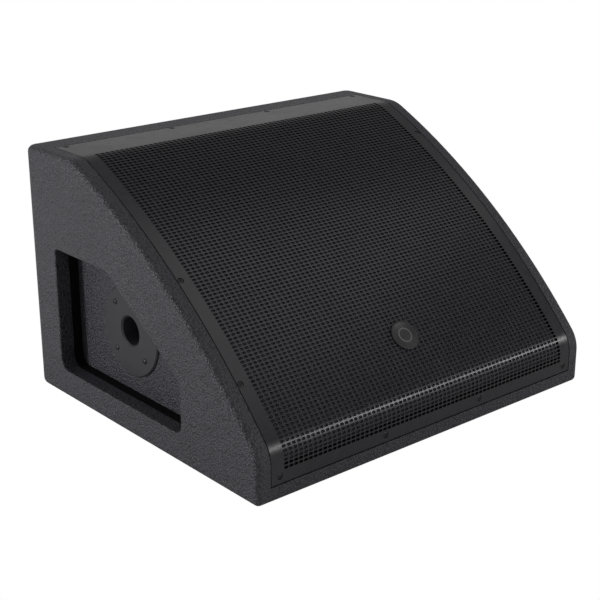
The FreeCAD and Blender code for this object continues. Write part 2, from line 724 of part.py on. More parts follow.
def side_cleat(side):
    """A batten along a side panel, behind the baffle, notched round the hand recess."""
    body = new_body("baffle_batten_" + side)
    sketch = new_sketch(body, body.Name + "_outline", "XY_Plane")
    outer = -INNER if side == "left" else INNER
    edge = size("cleat") - INNER if side == "left" else INNER - size("cleat")
    reach = BAFFLE_HALF - size("cleat_end")
    add_loop(sketch, [(outer, -reach), (edge, -reach), (edge, reach), (outer, reach)])
    pad(body, sketch, size("recess_border"), downward=True)
    body.Placement = SLOPE.multiply(Placement(Vector(0, 0, -SIZES["baffle_thickness"]), Rotation()))
    blanks = [doc.getObject(side + "_frame_blank"), doc.getObject(side + "_plate_blank")]
    return cut("notched_batten_" + side, body, *blanks)


def port_tubes():
    """The two flared reflex ports."""
    inner, outer = size("port_radius"), size("port_radius") + size("port_wall")
    lip, thick = outer + size("port_lip"), size("port_lip_thickness")
    corners = [(inner, -size("port_length")), (outer, -size("port_length")), (outer, 0), (lip, 0),
               (lip, thick * 0.5), (lip - 1, thick), (inner + 2, thick), (inner, thick - 2)]
    pattern = revolve("port_tube_pattern", corners)
    spots = [Placement(Vector(sign * PORT_X.value, PORT_Y.value, 0), Rotation()) for sign in (-1, 1)]
    return copies("port_tubes", pattern, [SLOPE.multiply(spot) for spot in spots])


def woofer_basket():
    """The cast frame: a flange, a windowed cone and the seat for the motor."""
    wall, neck, depth = size("basket_wall"), size("basket_neck"), size("basket_depth")
    shoulder = CUTOUT - size("cutout_gap")
    corners = [(FLANGE_BORE, FLANGE_TOP), (size("driver_radius"), FLANGE_TOP), (size("driver_radius"), 0),
               (shoulder, 0), (shoulder, -12), (neck + wall, -depth + 12), (neck + wall, -depth),
               (size("coil_radius") + 6, -depth), (size("coil_radius") + 6, -depth + wall),
               (size("spider_radius"), -depth + wall), (size("spider_radius") + 2, -depth + 14),
               (neck - 4, -depth + 18), (FLANGE_BORE, -10)]
    body = revolve("basket_casting", corners)
    body.Placement = SLOPE
    slots = []
    for number in range(6):
        slot = doc.addObject("Part::Box", "basket_slot_%d" % number)
        bind(slot, "Length", CUTOUT)
        bind(slot, "Width", size("basket_window"))
        bind(slot, "Height", size("basket_depth") - 38)
        turn = Placement(Vector(), Rotation(Vector(0, 0, 1), 60 * number + 30))
        corner = Vector(SIZES["coil_radius"] + 20, -SIZES["basket_window"] / 2, 20 - SIZES["basket_depth"])
        shift = Placement(corner, Rotation())
        slot.Placement = SLOPE.multiply(turn).multiply(shift)
        slots.append(slot)
    return cut("basket_frame", body, *slots)


def on_slope(name, corners):
    """A turned piece of the driver."""
    body = revolve(name, corners)
    body.Placement = SLOPE
    return body


def cone():
    """The paper cone, from the coil's former to its rim."""
    wall, rise = size("cone_wall"), size("cone_rise")
    neck = COIL + size("clearance")
    collar = -rise - 4
    corners = [(COIL, -rise), (neck, collar), (neck + wall, collar), (neck + wall, -rise),
               (CONE_RIM, FLANGE_TOP - wall), (CONE_RIM, FLANGE_TOP), (CONE_RIM - 4, FLANGE_TOP),
               (COIL, wall * 2 - rise)]
    return on_slope("woofer_cone", corners)


def voice_coil():
    """The coil and its former."""
    former = COIL - size("former_wall")
    low = MAGNET_TOP - 8
    return on_slope("voice_coil", [(former, low), (COIL + size("winding_wall"), low),
                                   (COIL + size("winding_wall"), TOP_PLATE + 3), (COIL, TOP_PLATE + 3),
                                   (COIL, -size("cone_rise")), (former, -size("cone_rise"))])


def surround():
    """The rubber half roll between the basket and the cone."""
    wall, land = size("roll_wall"), size("clearance")
    body = new_body("cone_surround")
    sketch = new_sketch(body, "cone_surround_section", "XZ_Plane")
    level = FLANGE_TOP + land
    outer, inner = size("roll_radius"), size("roll_radius") - wall
    middle = ROLL_MIDDLE
    centre = Vector(middle.value, level.value, 0)
    for number, radius in enumerate((outer, inner)):
        circle = Part.Circle(centre, Vector(0, 0, 1), radius.value)
        sketch.addGeometry(Part.ArcOfCircle(circle, 0.0, math.pi), False)
        hold(sketch, "DistanceX", number, 3, middle)
        hold(sketch, "DistanceY", number, 3, level)
        held = sketch.addConstraint(Sketcher.Constraint("Radius", number, radius.value))
        sketch.setExpression("Constraints[%d]" % held, radius.text)
    join(sketch, 0, 1, 1, 1)
    join(sketch, 0, 2, 1, 2)
    for geometry, point in ((0, 1), (0, 2), (1, 1), (1, 2)):
        hold(sketch, "DistanceY", geometry, point, level)
    feature = body.newObject("PartDesign::Revolution", "cone_surround_turned")
    feature.Profile = sketch
    feature.ReferenceAxis = (sketch, ["V_Axis"])
    feature.Angle = 360.0
    body.Placement = SLOPE
    return body


def gasket():
    """The ring that seals the driver's rim to the grille side."""
    outer = SCREW_CIRCLE - size("driver_screw_head") - 1
    inner = outer - size("gasket_width")
    top = FLANGE_TOP + size("gasket_thickness")
    return on_slope("driver_gasket", [(inner, FLANGE_TOP), (outer, FLANGE_TOP), (outer, top), (inner, top)])


def spider():
    """The corrugated disc that keeps the coil centred."""
    low = -size("spider_level")
    wall, start = size("spider_wall"), COIL + size("winding_wall") + 0.5
    steps = 6
    pitch = (size("spider_radius") - 0.5 - start) / steps
    upper = [(start + pitch * number, low + wall + (3 if number % 2 else 0)) for number in range(steps + 1)]
    lower = [(start + pitch * number, low + (3 if number % 2 else 0)) for number in range(steps, -1, -1)]
    return on_slope("spider", upper + lower)


def spider_ring():
    """The ring in the basket that the spider's edge is glued to."""
    inner, outer = size("spider_radius") - 0.5, size("spider_radius") + 4
    low = -size("spider_level")
    return on_slope("spider_ring", [(inner, low - 1), (outer, low - 1), (outer, low + 2), (inner, low + 2)])


def motor():
    """Front plate, ring magnet and the back plate with its hollow pole."""
    outer, gap = size("magnet_radius"), size("coil_gap")
    steel, bore, throat = outer - size("magnet_step"), size("magnet_bore"), size("throat_radius")
    hole = COIL + size("winding_wall") + gap
    pole = COIL - size("former_wall") - gap
    plate = on_slope("magnet_front_plate", [(hole, MAGNET_TOP), (steel, MAGNET_TOP), (steel, TOP_PLATE),
                                            (hole, TOP_PLATE)])
    ring = on_slope("ring_magnet", [(bore, MAGNET_LOW), (outer, MAGNET_LOW), (outer, MAGNET_TOP),
                                    (bore, MAGNET_TOP)])
    back = on_slope("back_plate_and_pole", [(throat, MOTOR_END), (steel, MOTOR_END), (steel, MAGNET_LOW),
                                            (pole, MAGNET_LOW), (pole, TOP_PLATE), (throat, TOP_PLATE)])
    return [plate, ring, back]


def horn():
    """The small horn in the middle of the cone."""
    throat, mouth, wall = size("throat_radius"), size("horn_mouth"), size("horn_wall")
    top = TOP_PLATE + size("horn_rise")
    corners = [(throat, TOP_PLATE), (throat + wall + 4, TOP_PLATE), (throat + wall + 2, TOP_PLATE + 8),
               (mouth, top - 6), (mouth, top), (mouth - wall, top), (throat + 2, TOP_PLATE + 12)]
    return on_slope("high_frequency_horn", corners)


def compression_driver():
    """The high-frequency unit on the back of the motor."""
    outer, depth = size("compression_radius"), size("compression_depth")
    low, throat, floor = MOTOR_END - depth, size("throat_radius"), MOTOR_END - 6
    corners = [(0, low), (outer - 4, low), (outer, low + 4), (outer, MOTOR_END), (throat, MOTOR_END),
               (throat, floor), (0, floor)]
    return on_slope("compression_driver", corners)


def driver_screw_places():
    """Eight screws round the driver's flange."""
    reach = SCREW_CIRCLE.value
    spots = []
    for number in range(8):
        angle = math.radians(45 * number + 22.5)
        spots.append(Vector(reach * math.cos(angle), reach * math.sin(angle), FLANGE_TOP.value))
    return [SLOPE.multiply(Placement(spot, Rotation())) for spot in spots]


# ---- amplifier panel ---------------------------------------------------------------------------

INPUT_Y = RECESS_REAR - size("input_from_rear")
LINK_Y = INPUT_Y - size("socket_spacing")
SOCKET_Z = RECESS_FLOOR + size("socket_row")
INLET_Y = RECESS_REAR - size("inlet_from_rear")
INLET_Z = RECESS_FLOOR + size("inlet_row")
SWITCH_Y = INLET_Y - size("switch_from_inlet")
KNOB_Y = RECESS_REAR - size("knob_from_rear")
KNOB_Z = RECESS_FLOOR + size("knob_row")
BUTTON_Y = KNOB_Y + size("button_from_knob")
BUTTON_Z = RECESS_FLOOR + size("button_row")
LATCH_Z = SOCKET_Z + size("socket_flange_tall") / 2 - size("latch_tall") / 2 - 1


def socket(name, centre_y, latch_hole=None):
    """A panel socket: a flange, a round barrel behind it and an open bore."""
    wide, tall, thick = size("socket_flange_wide"), size("socket_flange_tall"), size("socket_flange")
    flange = bar(name + "_flange", AMP_FACE, centre_y, SOCKET_Z, (thick, wide, tall))
    barrel = rod(name + "_barrel", AMP_FACE - size("socket_depth"), centre_y, SOCKET_Z, size("socket_depth"),
                 size("socket_barrel"))
    bore = rod(name + "_bore", AMP_FACE - size("socket_depth") + 4, centre_y, SOCKET_Z, size("socket_depth"),
               size("socket_bore"))
    tools = [bore] if latch_hole is None else [bore, latch_hole]
    return cut(name + "_shell", fuse(name + "_solid", flange, barrel), *tools)


def input_socket():
    """The combined input socket, with room for its release latch."""
    gap = size("clearance")
    slot = bar("latch_slot", AMP_FACE - size("latch_length"), INPUT_Y, LATCH_Z,
               (size("latch_length") + size("socket_flange") + 1, size("latch_wide") + gap * 2,
                size("latch_tall") + gap * 2))
    return socket("input_socket", INPUT_Y, slot)


def input_latch():
    """The push-to-release tab of the input socket."""
    low = AMP_FACE + size("socket_flange") + size("latch_proud") - size("latch_length")
    spans = (size("latch_length"), size("latch_wide"), size("latch_tall"))
    return bar("input_latch", low, INPUT_Y, LATCH_Z, spans)


def input_contacts():
    """The round jack contact carrier in the middle of the input socket."""
    low = AMP_FACE - size("socket_depth") + 4
    core = rod("input_core", low, INPUT_Y, SOCKET_Z, size("socket_depth") - 8, 5.4)
    hole = rod("input_core_hole", low + 2, INPUT_Y, SOCKET_Z, size("socket_depth"), 3.2)
    return cut("input_contacts", core, hole)


def link_pins():
    """The three pins of the link socket."""
    low = AMP_FACE - size("socket_depth") + 4
    pins = []
    for number, angle in enumerate((90, 210, 330)):
        y = LINK_Y + 5 * math.cos(math.radians(angle))
        z = SOCKET_Z + 5 * math.sin(math.radians(angle))
        pins.append(rod("link_pin_%d" % number, low, y, z, 14, 1.2))
    return group("link_pins", *pins)


def mains_inlet():
    """The mains inlet: a flange and a deep shell with a keyed mouth."""
    wide, tall = size("inlet_wide"), size("inlet_tall")
    flange = bar("inlet_flange", AMP_FACE, INLET_Y, INLET_Z, (2.5, size("inlet_flange_wide"), tall + 3))
    depth = size("inlet_depth")
    shell = bar("inlet_shell", AMP_FACE - depth, INLET_Y, INLET_Z, (depth, wide, tall))
    mouth = bar("inlet_mouth", AMP_FACE - size("inlet_depth") + 4, INLET_Y, INLET_Z,
                (size("inlet_depth"), wide - 5.5, tall - 7))
    return cut("mains_inlet_shell", fuse("inlet_solid", flange, shell), mouth)


def mains_pins():
    """The three flat pins of the mains inlet."""
    low = AMP_FACE - size("inlet_depth") + 4
    spots = ((-7, -1.5), (0, 2.5), (7, -1.5))
    pins = [bar("mains_pin_%d" % number, low, INLET_Y + across, INLET_Z + up, (_size(14), _size(2), _size(4)))
            for number, (across, up) in enumerate(spots)]
    return group("mains_pins", *pins)


def switch_housing():
    """The frame of the power switch, with a well for the rocker."""
    wide, tall, deep = size("switch_wide"), size("switch_tall"), size("switch_depth")
    flange = bar("switch_flange", AMP_FACE, SWITCH_Y, INLET_Z, (_size(2), wide + 4, tall + 4))
    shell = bar("switch_shell", AMP_FACE - deep, SWITCH_Y, INLET_Z, (deep, wide, tall))
    well = bar("switch_well", AMP_FACE - deep + 4, SWITCH_Y, INLET_Z, (deep, wide - 3, tall - 3))
    return cut("switch_housing", fuse("switch_solid", flange, shell), well)


def power_rocker():
    """The rocker, a shallow V across its pivot, resting on its off side."""
    body = new_body("power_rocker")
    sketch = new_sketch(body, "power_rocker_section", "XZ_Plane")
    half, wide = size("switch_tall") / 2 - 2.6, size("switch_wide") - 4.4
    add_loop(sketch, [(-4, -half * 0.45), (1.2, -half), (2.9, -half), (1.5, 0), (2.9, half), (1.2, half),
                      (-4, half * 0.45)])
    pad(body, sketch, wide)
    pivot = Vector(AMP_FACE.value, SWITCH_Y.value + wide.value / 2, INLET_Z.value)
    tilt = Rotation(Vector(0, 1, 0), SIZES["rocker_swing"])
    body.Placement = Placement(pivot, tilt)
    return body


def level_pot():
    """The level control behind the panel, with its shaft."""
    side = size("pot_size")
    can = bar("pot_can", AMP_FACE - size("amp_panel") - 10, KNOB_Y, KNOB_Z, (_size(10), side, side))
    bush = rod("pot_bush", AMP_FACE - size("amp_panel"), KNOB_Y, KNOB_Z, size("amp_panel") + 2, 3.6)
    shaft = rod("pot_shaft", AMP_FACE + 1, KNOB_Y, KNOB_Z, 9, size("shaft_radius"))
    return fuse("level_pot", can, bush, shaft)


def level_knob():
    """The knurled knob on the level control, with a pointer line."""
    radius, height = size("knob_radius"), size("knob_height")
    low = AMP_FACE + 3.4
    skirt = rod("knob_skirt", low, KNOB_Y, KNOB_Z, 3, radius)
    grip = rod("knob_grip", low, KNOB_Y, KNOB_Z, height - 1, radius - 1.2)
    cap = rod("knob_cap", low, KNOB_Y, KNOB_Z, height, radius - 2.2)
    hole = rod("knob_hole", low - 1, KNOB_Y, KNOB_Z, 9, size("shaft_radius") + 0.05)
    pointer = bar("knob_pointer", low + height - 0.6, KNOB_Y, KNOB_Z + radius / 2 - 1.2,
                  (_size(2), _size(1.2), radius - 2))
    return cut("level_knob", fuse("knob_solid", skirt, grip, cap), hole, pointer)


def preset_button():
    """The sprung preset button."""
    low = AMP_FACE - size("amp_panel") - 3
    stem = rod("button_stem", low, BUTTON_Y, BUTTON_Z, size("button_height") + 5, size("button_radius"))
    crown = rod("button_crown", low, BUTTON_Y, BUTTON_Z, size("button_height") + 5.5,
                size("button_radius") - 0.6)
    return fuse("preset_button", stem, crown)


def button_switch():
    """The switch body behind the preset button."""
    can = bar("button_can", AMP_FACE - size("amp_panel") - 14, BUTTON_Y, BUTTON_Z,
              (_size(14), _size(13), _size(13)))
    well = rod("button_well", AMP_FACE - size("amp_panel") - 6, BUTTON_Y, BUTTON_Z, 8,
               size("button_radius") + size("clearance"))
    return cut("button_switch", can, well)


def indicator_lenses():
    """Two small indicator lenses beside the button."""
    lenses = []
    for number in (0, 1):
        z = BUTTON_Z - 6 + size("lens_spacing") * number
        lenses.append(rod("lens_%d" % number, AMP_FACE - 6, BUTTON_Y + 16, z, 7.2, size("lens_radius")))
    return group("indicator_lenses", *lenses)


def heatsink():
    """The finned cooler on the panel's upper rear corner."""
    wide, tall = size("heatsink_wide"), size("heatsink_tall")
    rear = RECESS_REAR - size("heatsink_from_rear")
    low_z = RECESS_TOP - size("heatsink_from_top") - tall
    pieces = [box("heatsink_base", (AMP_FACE, rear - wide, low_z), (size("heatsink_base"), wide, tall))]
    count = int(SIZES["fin_count"])
    pitch = (wide - size("fin_wall")) / (count - 1)
    for number in range(count):
        pieces.append(box("heatsink_fin_%d" % number, (AMP_FACE, rear - wide + pitch * number, low_z),
                          (size("heatsink_base") + size("fin_height"), size("fin_wall"), tall)))
    return fuse("heatsink", *pieces)


def amp_board():
    """The amplifier's circuit board, on posts behind the panel."""
    low = AMP_FACE - size("amp_panel") - size("board_gap")
    middle_y = RECESS_REAR - 20 - size("amp_board_wide") / 2
    middle_z = RECESS_FLOOR + 18 + size("amp_board_tall") / 2
    board = bar("amp_board", low, middle_y, middle_z,
                (size("board_thickness"), size("amp_board_wide"), size("amp_board_tall")))
    posts = []
    for number, (across, up) in enumerate(((-1, -1), (1, -1), (-1, 1), (1, 1))):
        y = middle_y + (size("amp_board_wide") / 2 - 5) * across
        z = middle_z + (size("amp_board_tall") / 2 - 5) * up
        posts.append(rod("post_%d" % number, low + size("board_thickness"), y, z,
                         size("board_gap") - size("board_thickness"), size("standoff_radius")))
    transformer = bar("power_transformer", low - 24, middle_y + 36, middle_z,
                      (_size(24), _size(40), _size(34)))
    cans = [rod("can_%d" % number, low - 26, middle_y - 4 - 22 * number, middle_z + 12, 26, 9)
            for number in (0, 1, 2)]
    return [board, group("board_posts", *posts), transformer, group("smoothing_capacitors", *cans)]


def amp_panel(*tools):
    """The steel panel that closes the right recess."""
    thick = size("amp_panel")
    plate = recess_slab("amp_panel_blank", -size("amp_panel_gap"), AMP_FACE - thick, thick)
    gap = size("clearance")
    holes = [rod("input_hole", AMP_FACE - 3, INPUT_Y, SOCKET_Z, 4, size("socket_hole")),
             rod("link_hole", AMP_FACE - 3, LINK_Y, SOCKET_Z, 4, size("socket_hole")),
             bar("latch_hole", AMP_FACE - 3, INPUT_Y, LATCH_Z,
                 (_size(4), size("latch_wide") + gap * 4, size("latch_tall") + gap * 4)),
             bar("inlet_hole", AMP_FACE - 3, INLET_Y, INLET_Z,
                 (_size(4), size("inlet_wide") + gap, size("inlet_tall") + gap)),
             bar("switch_hole", AMP_FACE - 3, SWITCH_Y, INLET_Z,
                 (_size(4), size("switch_wide") + gap, size("switch_tall") + gap)),
             rod("pot_hole", AMP_FACE - 3, KNOB_Y, KNOB_Z, 4, 3.75),
             rod("button_hole", AMP_FACE - 3, BUTTON_Y, BUTTON_Z, 4, size("button_radius") + gap),
             rod("lens_hole_0", AMP_FACE - 3, BUTTON_Y + 16, BUTTON_Z - 6, 4, size("lens_radius")),
             rod("lens_hole_1", AMP_FACE - 3, BUTTON_Y + 16, BUTTON_Z - 6 + size("lens_spacing"), 4,
                 size("lens_radius"))]
    return cut("amp_panel", plate, *holes, *tools)


def amp_screw_places():
    """Six screws round the amplifier panel."""
    inset = -size("amp_panel_gap") - size("amp_screw_inset")
    corners = [(y.value, z.value) for y, z in recess_corners(inset)]
    lows = [((corners[0][0] + corners[1][0]) / 2, corners[0][1])]
    return [turned_to((1, 0, 0), (AMP_FACE.value, y, z)) for y, z in corners + lows]


def socket_screw_places():
    """Two screws on each socket's flange and two on the mains inlet."""
    places = []
    for centre in (INPUT_Y.value, LINK_Y.value):
        for sign in (-1, 1):
            places.append((centre + sign * 9.5, SOCKET_Z.value - sign * 12.0))
    reach = SIZES["inlet_flange_wide"] / 2 - 5
    places += [(INLET_Y.value - reach, INLET_Z.value), (INLET_Y.value + reach, INLET_Z.value)]
    thick = SIZES["socket_flange"]
    return [turned_to((1, 0, 0), (AMP_FACE.value + thick + (0.5 if number > 3 else 0), y, z))
            for number, (y, z) in enumerate(places)]


# ---- feet and lining ---------------------------------------------------------------------------

def foot_spots():
    """The centres of the four feet."""
    across = profile_half_width() - SIZES["foot_inset"]
    along = profile.rear - SIZES["foot_inset"]
    return [(x, y) for x in (-across, across) for y in (-along, along)]


def feet():
    """Four round rubber feet, each with a well for its screw."""
    radius, height, hole = size("foot_radius"), size("foot_height"), size("foot_screw_hole")
    shank = size("panel_screw_shank") + 0.1
    pattern = revolve("foot_pattern", [(hole, 0), (radius - 1, 0), (radius, 1), (radius, height),
                                       (shank, height), (shank, height - 1), (hole, height - 1)])
    return copies("rubber_feet", pattern, [Placement(Vector(x, y, 0), Rotation()) for x, y in foot_spots()])


def damping_felt():
    """The sheet of damping felt on the rear panel."""
    margin, thick = size("lining_margin"), size("lining_thickness")
    return box("damping_felt", (size("lining_from_side") - INNER, INNER_REAR - thick, FLOOR + margin),
               ((INNER - size("lining_from_side")) * 2, thick, size("cabinet_height") - margin * 3))


# ---- build -------------------------------------------------------------------------------------

def build_cabinet(nodes):
    """Panels, grille, recesses, baffle and lining."""
    form = cabinet_form()
    grille_screws = copies("grille_screws", countersunk_screw("grille_screw"), grille_screw_places())
    nodes += [side_panel("left", form), side_panel("right", form), rear_panel(form)]
    top_board = cut("top_panel", top_panel(form), grille_screws)
    small = screw("small_screw")
    foot_screws = copies("foot_screws", screw("panel_screw"),
                         [turned_to((0, 0, -1), (x, y, SIZES["foot_height"] - 1)) for x, y in foot_spots()])
    nodes += [top_board, cut("bottom_panel", bottom_panel(form), foot_screws), foot_screws, feet()]
    nodes += [grille(grille_screws), grille_foam(), badge(), grille_screws, front_rail(grille_screws)]
    nodes += [grille_rail("left", grille_screws), grille_rail("right", grille_screws)]
    driver_screws = copies("driver_screws", screw("driver_screw"), driver_screw_places())
    board = baffle(driver_screws)
    nodes += [board, port_tubes(), driver_screws]
    top_low = TOP - size("side_panel") - 40
    upper = cleat("baffle_batten_top", REAR - size("top_panel_reach") - 30, _size(52), top_low, _size(40),
                  doc.getObject("baffle_board"))
    lower = cleat("baffle_batten_bottom", FOAM_BACK + 13 - REAR, _size(26), FOAM_LOW - size("foam_gap"),
                  _size(20), doc.getObject("baffle_board"))
    nodes += [recess_frame("left"), recess_frame("right")]
    pole_screws = copies("pole_socket_screws", doc.getObject("panel_screw_pattern"), pole_screw_places())
    socket_blank = pole_socket()
    nodes += [cut("pole_socket", socket_blank, pole_screws), pole_screws]
    tube = size("pole_bore") + size("pole_wall")
    tube_hole = rod("pole_tube_hole", POLE_FACE, POLE_Y, POLE_Z, size("recess_plate"), tube)
    nodes.append(recess_plate("left", tube_hole, pole_screws))
    build_amplifier(nodes, small)
    nodes.append(group("baffle_cleats", side_cleat("left"), side_cleat("right"), upper, lower))
    nodes.append(damping_felt())
    build_driver(nodes, driver_screws)


def build_driver(nodes, driver_screws):
    """The coaxial driver."""
    nodes.append(cut("woofer_basket", woofer_basket(), driver_screws))
    nodes += [gasket(), surround(), cone(), voice_coil(), spider(), spider_ring(), *motor(), horn(),
              compression_driver()]


def build_amplifier(nodes, small):
    """The right recess: amplifier panel, sockets, controls and electronics."""
    panel_screws = copies("amp_panel_screws", doc.getObject("panel_screw_pattern"), amp_screw_places())
    socket_screws = copies("socket_screws", small, socket_screw_places())
    cutout = recess_slab("amp_cutout", -size("amp_cutout_inset"), HALF_WIDTH - PLATE_BACK,
                         size("recess_plate"), size("amp_cutout_corner"))
    nodes += [recess_plate("right", cutout, panel_screws), panel_screws, socket_screws]
    nodes.append(amp_panel(panel_screws, socket_screws))
    nodes += [cut("input_socket", input_socket(), socket_screws), input_latch(), input_contacts()]
    nodes += [cut("link_socket", socket("link_socket", LINK_Y), socket_screws), link_pins()]
    nodes += [cut("mains_inlet", mains_inlet(), socket_screws), mains_pins(), switch_housing()]
    nodes.append(power_rocker())
    nodes += [level_pot(), level_knob(), preset_button(), button_switch(), indicator_lenses(), heatsink()]
    nodes += amp_board()


def check(nodes):
    """Stop if any object failed or any node has no valid shape."""
    doc.recompute()
    for item in doc.Objects:
        if "Invalid" in item.State or "Error" in item.State:
            raise RuntimeError("%s failed: %s" % (item.Name, item.State))
    for node in nodes:
        if node.Shape.isNull() or not node.Shape.isValid() or not node.Shape.Solids:
            raise RuntimeError("%s has no valid shape" % node.Label)


def write(nodes):
    """Write one STEP file for each node."""
    os.makedirs("parts", exist_ok=True)
    for node in nodes:
        node.Shape.exportStep("parts/%s.step" % node.Label)
    print("wrote %d nodes" % len(nodes))


def main():
    """Build, check and write the part."""
    fill_sheet()
    nodes = []
    build_cabinet(nodes)
    check(nodes)
    write(nodes)


main()
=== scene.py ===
import json
import logging
import math
from dataclasses import dataclass
from enum import Enum
from typing import Callable, Iterable, Sequence

import bmesh
import bpy
from mathutils import Matrix, Vector


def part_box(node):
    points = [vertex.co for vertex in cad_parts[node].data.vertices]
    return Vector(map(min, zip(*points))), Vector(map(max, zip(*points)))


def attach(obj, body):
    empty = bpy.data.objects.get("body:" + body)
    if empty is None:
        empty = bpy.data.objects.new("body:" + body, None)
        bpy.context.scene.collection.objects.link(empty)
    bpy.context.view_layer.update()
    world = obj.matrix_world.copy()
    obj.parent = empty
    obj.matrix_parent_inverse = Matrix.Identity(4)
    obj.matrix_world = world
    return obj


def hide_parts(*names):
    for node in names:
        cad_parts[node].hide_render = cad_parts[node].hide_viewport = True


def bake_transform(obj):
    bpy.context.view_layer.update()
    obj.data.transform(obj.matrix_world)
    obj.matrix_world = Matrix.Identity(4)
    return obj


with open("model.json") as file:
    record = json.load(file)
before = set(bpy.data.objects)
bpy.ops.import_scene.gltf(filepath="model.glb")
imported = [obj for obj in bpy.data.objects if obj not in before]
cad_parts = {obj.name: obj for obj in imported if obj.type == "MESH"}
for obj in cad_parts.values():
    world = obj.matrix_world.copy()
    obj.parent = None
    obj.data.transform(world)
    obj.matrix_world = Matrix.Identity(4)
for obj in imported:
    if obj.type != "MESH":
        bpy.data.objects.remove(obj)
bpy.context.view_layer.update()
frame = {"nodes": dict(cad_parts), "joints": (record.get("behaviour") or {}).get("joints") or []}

LOG = logging.getLogger("stage_monitor_wedge")
CABINET = "cabinet"

Point = tuple[float, float, float]
Colour = tuple[float, float, float]
Socket = bpy.types.NodeSocket


def mm(value: float) -> float:
    """Millimetres in metres."""
    return value / 1000.0


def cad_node(name: str) -> bpy.types.Object:
    """A CAD node's object."""
    return frame["nodes"][name]


def add_object(name: str, data: bpy.types.ID) -> bpy.types.Object:
    """A new object in the scene that holds a mesh, a light or a camera."""
    thing = bpy.data.objects.new(name, data)
    bpy.context.scene.collection.objects.link(thing)
    return thing


def from_bmesh(name: str, mesh: bmesh.types.BMesh) -> bpy.types.Object:
    """A new object from a bmesh, which is freed."""
    data = bpy.data.meshes.new(name)
    mesh.to_mesh(data)
    mesh.free()
    return add_object(name, data)


# ---- Node trees ----

class Graph:
    """Adds nodes to one tree and wires them, with sockets given by name, index or identifier."""

    def __init__(self, tree: bpy.types.NodeTree) -> None:
        """Wraps a tree.

        Args:
            tree: the shader or geometry node tree that gets the nodes.
        """
        self.tree = tree

    def add(self, kind: str, values: dict | None = None, **props: object) -> bpy.types.Node:
        """Adds a node.

        Args:
            kind: the node's type name.
            values: what goes into its input sockets, by socket name or index.
            **props: the node's own properties, set before its sockets are filled.

        Returns:
            The new node.
        """
        node = self.tree.nodes.new(kind)
        for name, value in props.items():
            setattr(node, name, value)
        for key, value in (values or {}).items():
            self.put(node.inputs[key], value)
        return node

    def put(self, socket: Socket, value: object) -> None:
        """Links a socket to the input, or sets the input's value."""
        if isinstance(value, bpy.types.NodeSocket):
            self.tree.links.new(value, socket)
        else:
            socket.default_value = value

    def math(self, operation: str, first: object, second: object = 0.0) -> Socket:
        """The result of one arithmetic step."""
        kind = "ShaderNodeMath"
        return self.add(kind, {0: first, 1: second}, operation=operation).outputs[0]

    def vector(self, operation: str, first: object, second: object) -> Socket:
        """The result of one vector step. For SCALE the second value is the factor."""
        second_input = "Scale" if operation == "SCALE" else 1
        return self.add("ShaderNodeVectorMath", {0: first, second_input: second},
                        operation=operation).outputs[0]

    def paint_and_end(self, sink: bpy.types.Node, geometry: Socket, material: Socket) -> None:
        """Ends a geometry tree: makes its instances real and sets their material."""
        real = self.add("GeometryNodeRealizeInstances", {0: geometry})
        painted = self.add("GeometryNodeSetMaterial", {"Geometry": real.outputs[0], "Material": material})
        self.put(sink.inputs[0], painted.outputs[0])

    def ramp(self, value: Socket, low: float, high: float, to_low: float, to_high: float) -> Socket:
        """A value mapped from one range to another, and held inside the second.

        Args:
            value: what is mapped.
            low: where the first range starts.
            high: where the first range ends.
            to_low: what low becomes.
            to_high: what high becomes.

        Returns:
            The mapped value.
        """
        node = self.add("ShaderNodeMapRange", {0: value, 1: low, 2: high, 3: to_low, 4: to_high})
        return node.outputs[0]

    def mix(self, share: object, low: object, high: object) -> Socket:
        """A colour between two colours."""
        node = self.add("ShaderNodeMix", data_type="RGBA")
        self.put(node.inputs["Factor"], share)
        for name, value in (("A", low), ("B", high)):
            socket = [s for s in node.inputs if s.name == name and s.type == "RGBA"][0]
            self.put(socket, (*value, 1.0) if isinstance(value, tuple) else value)
        return [s for s in node.outputs if s.type == "RGBA"][0]

    def group(self, tree: bpy.types.NodeTree, values: dict) -> bpy.types.Node:
        """Places a node group with its own values."""
        kind = "GeometryNodeGroup" if tree.bl_idname == "GeometryNodeTree" else "ShaderNodeGroup"
        return self.add(kind, values, node_tree=tree)


def new_group(name: str, kind: str, inputs: dict[str, str], outputs: dict[str, str]) -> tuple:
    """Starts a node group.

    Args:
        name: the group's name.
        kind: ShaderNodeTree or GeometryNodeTree.
        inputs: socket types by socket name.
        outputs: socket types by socket name.

    Returns:
        The tree, its Graph, its input node and its output node.
    """
    tree = bpy.data.node_groups.new(name, kind)
    for label, socket in inputs.items():
        tree.interface.new_socket(name=label, in_out="INPUT", socket_type=socket)
    for label, socket in outputs.items():
        tree.interface.new_socket(name=label, in_out="OUTPUT", socket_type=socket)
    graph = Graph(tree)
    return tree, graph, graph.add("NodeGroupInput"), graph.add("NodeGroupOutput")


# ---- Shared shader effects ----

class Surface(Enum):
    """The texture that a finish carries."""

    PEBBLE = "pebbled coat"
    GRAIN = "moulded grain"
    STREAK = "drawn streaks"
    FIBRE = "matted fibres"
    CELL = "open cells"


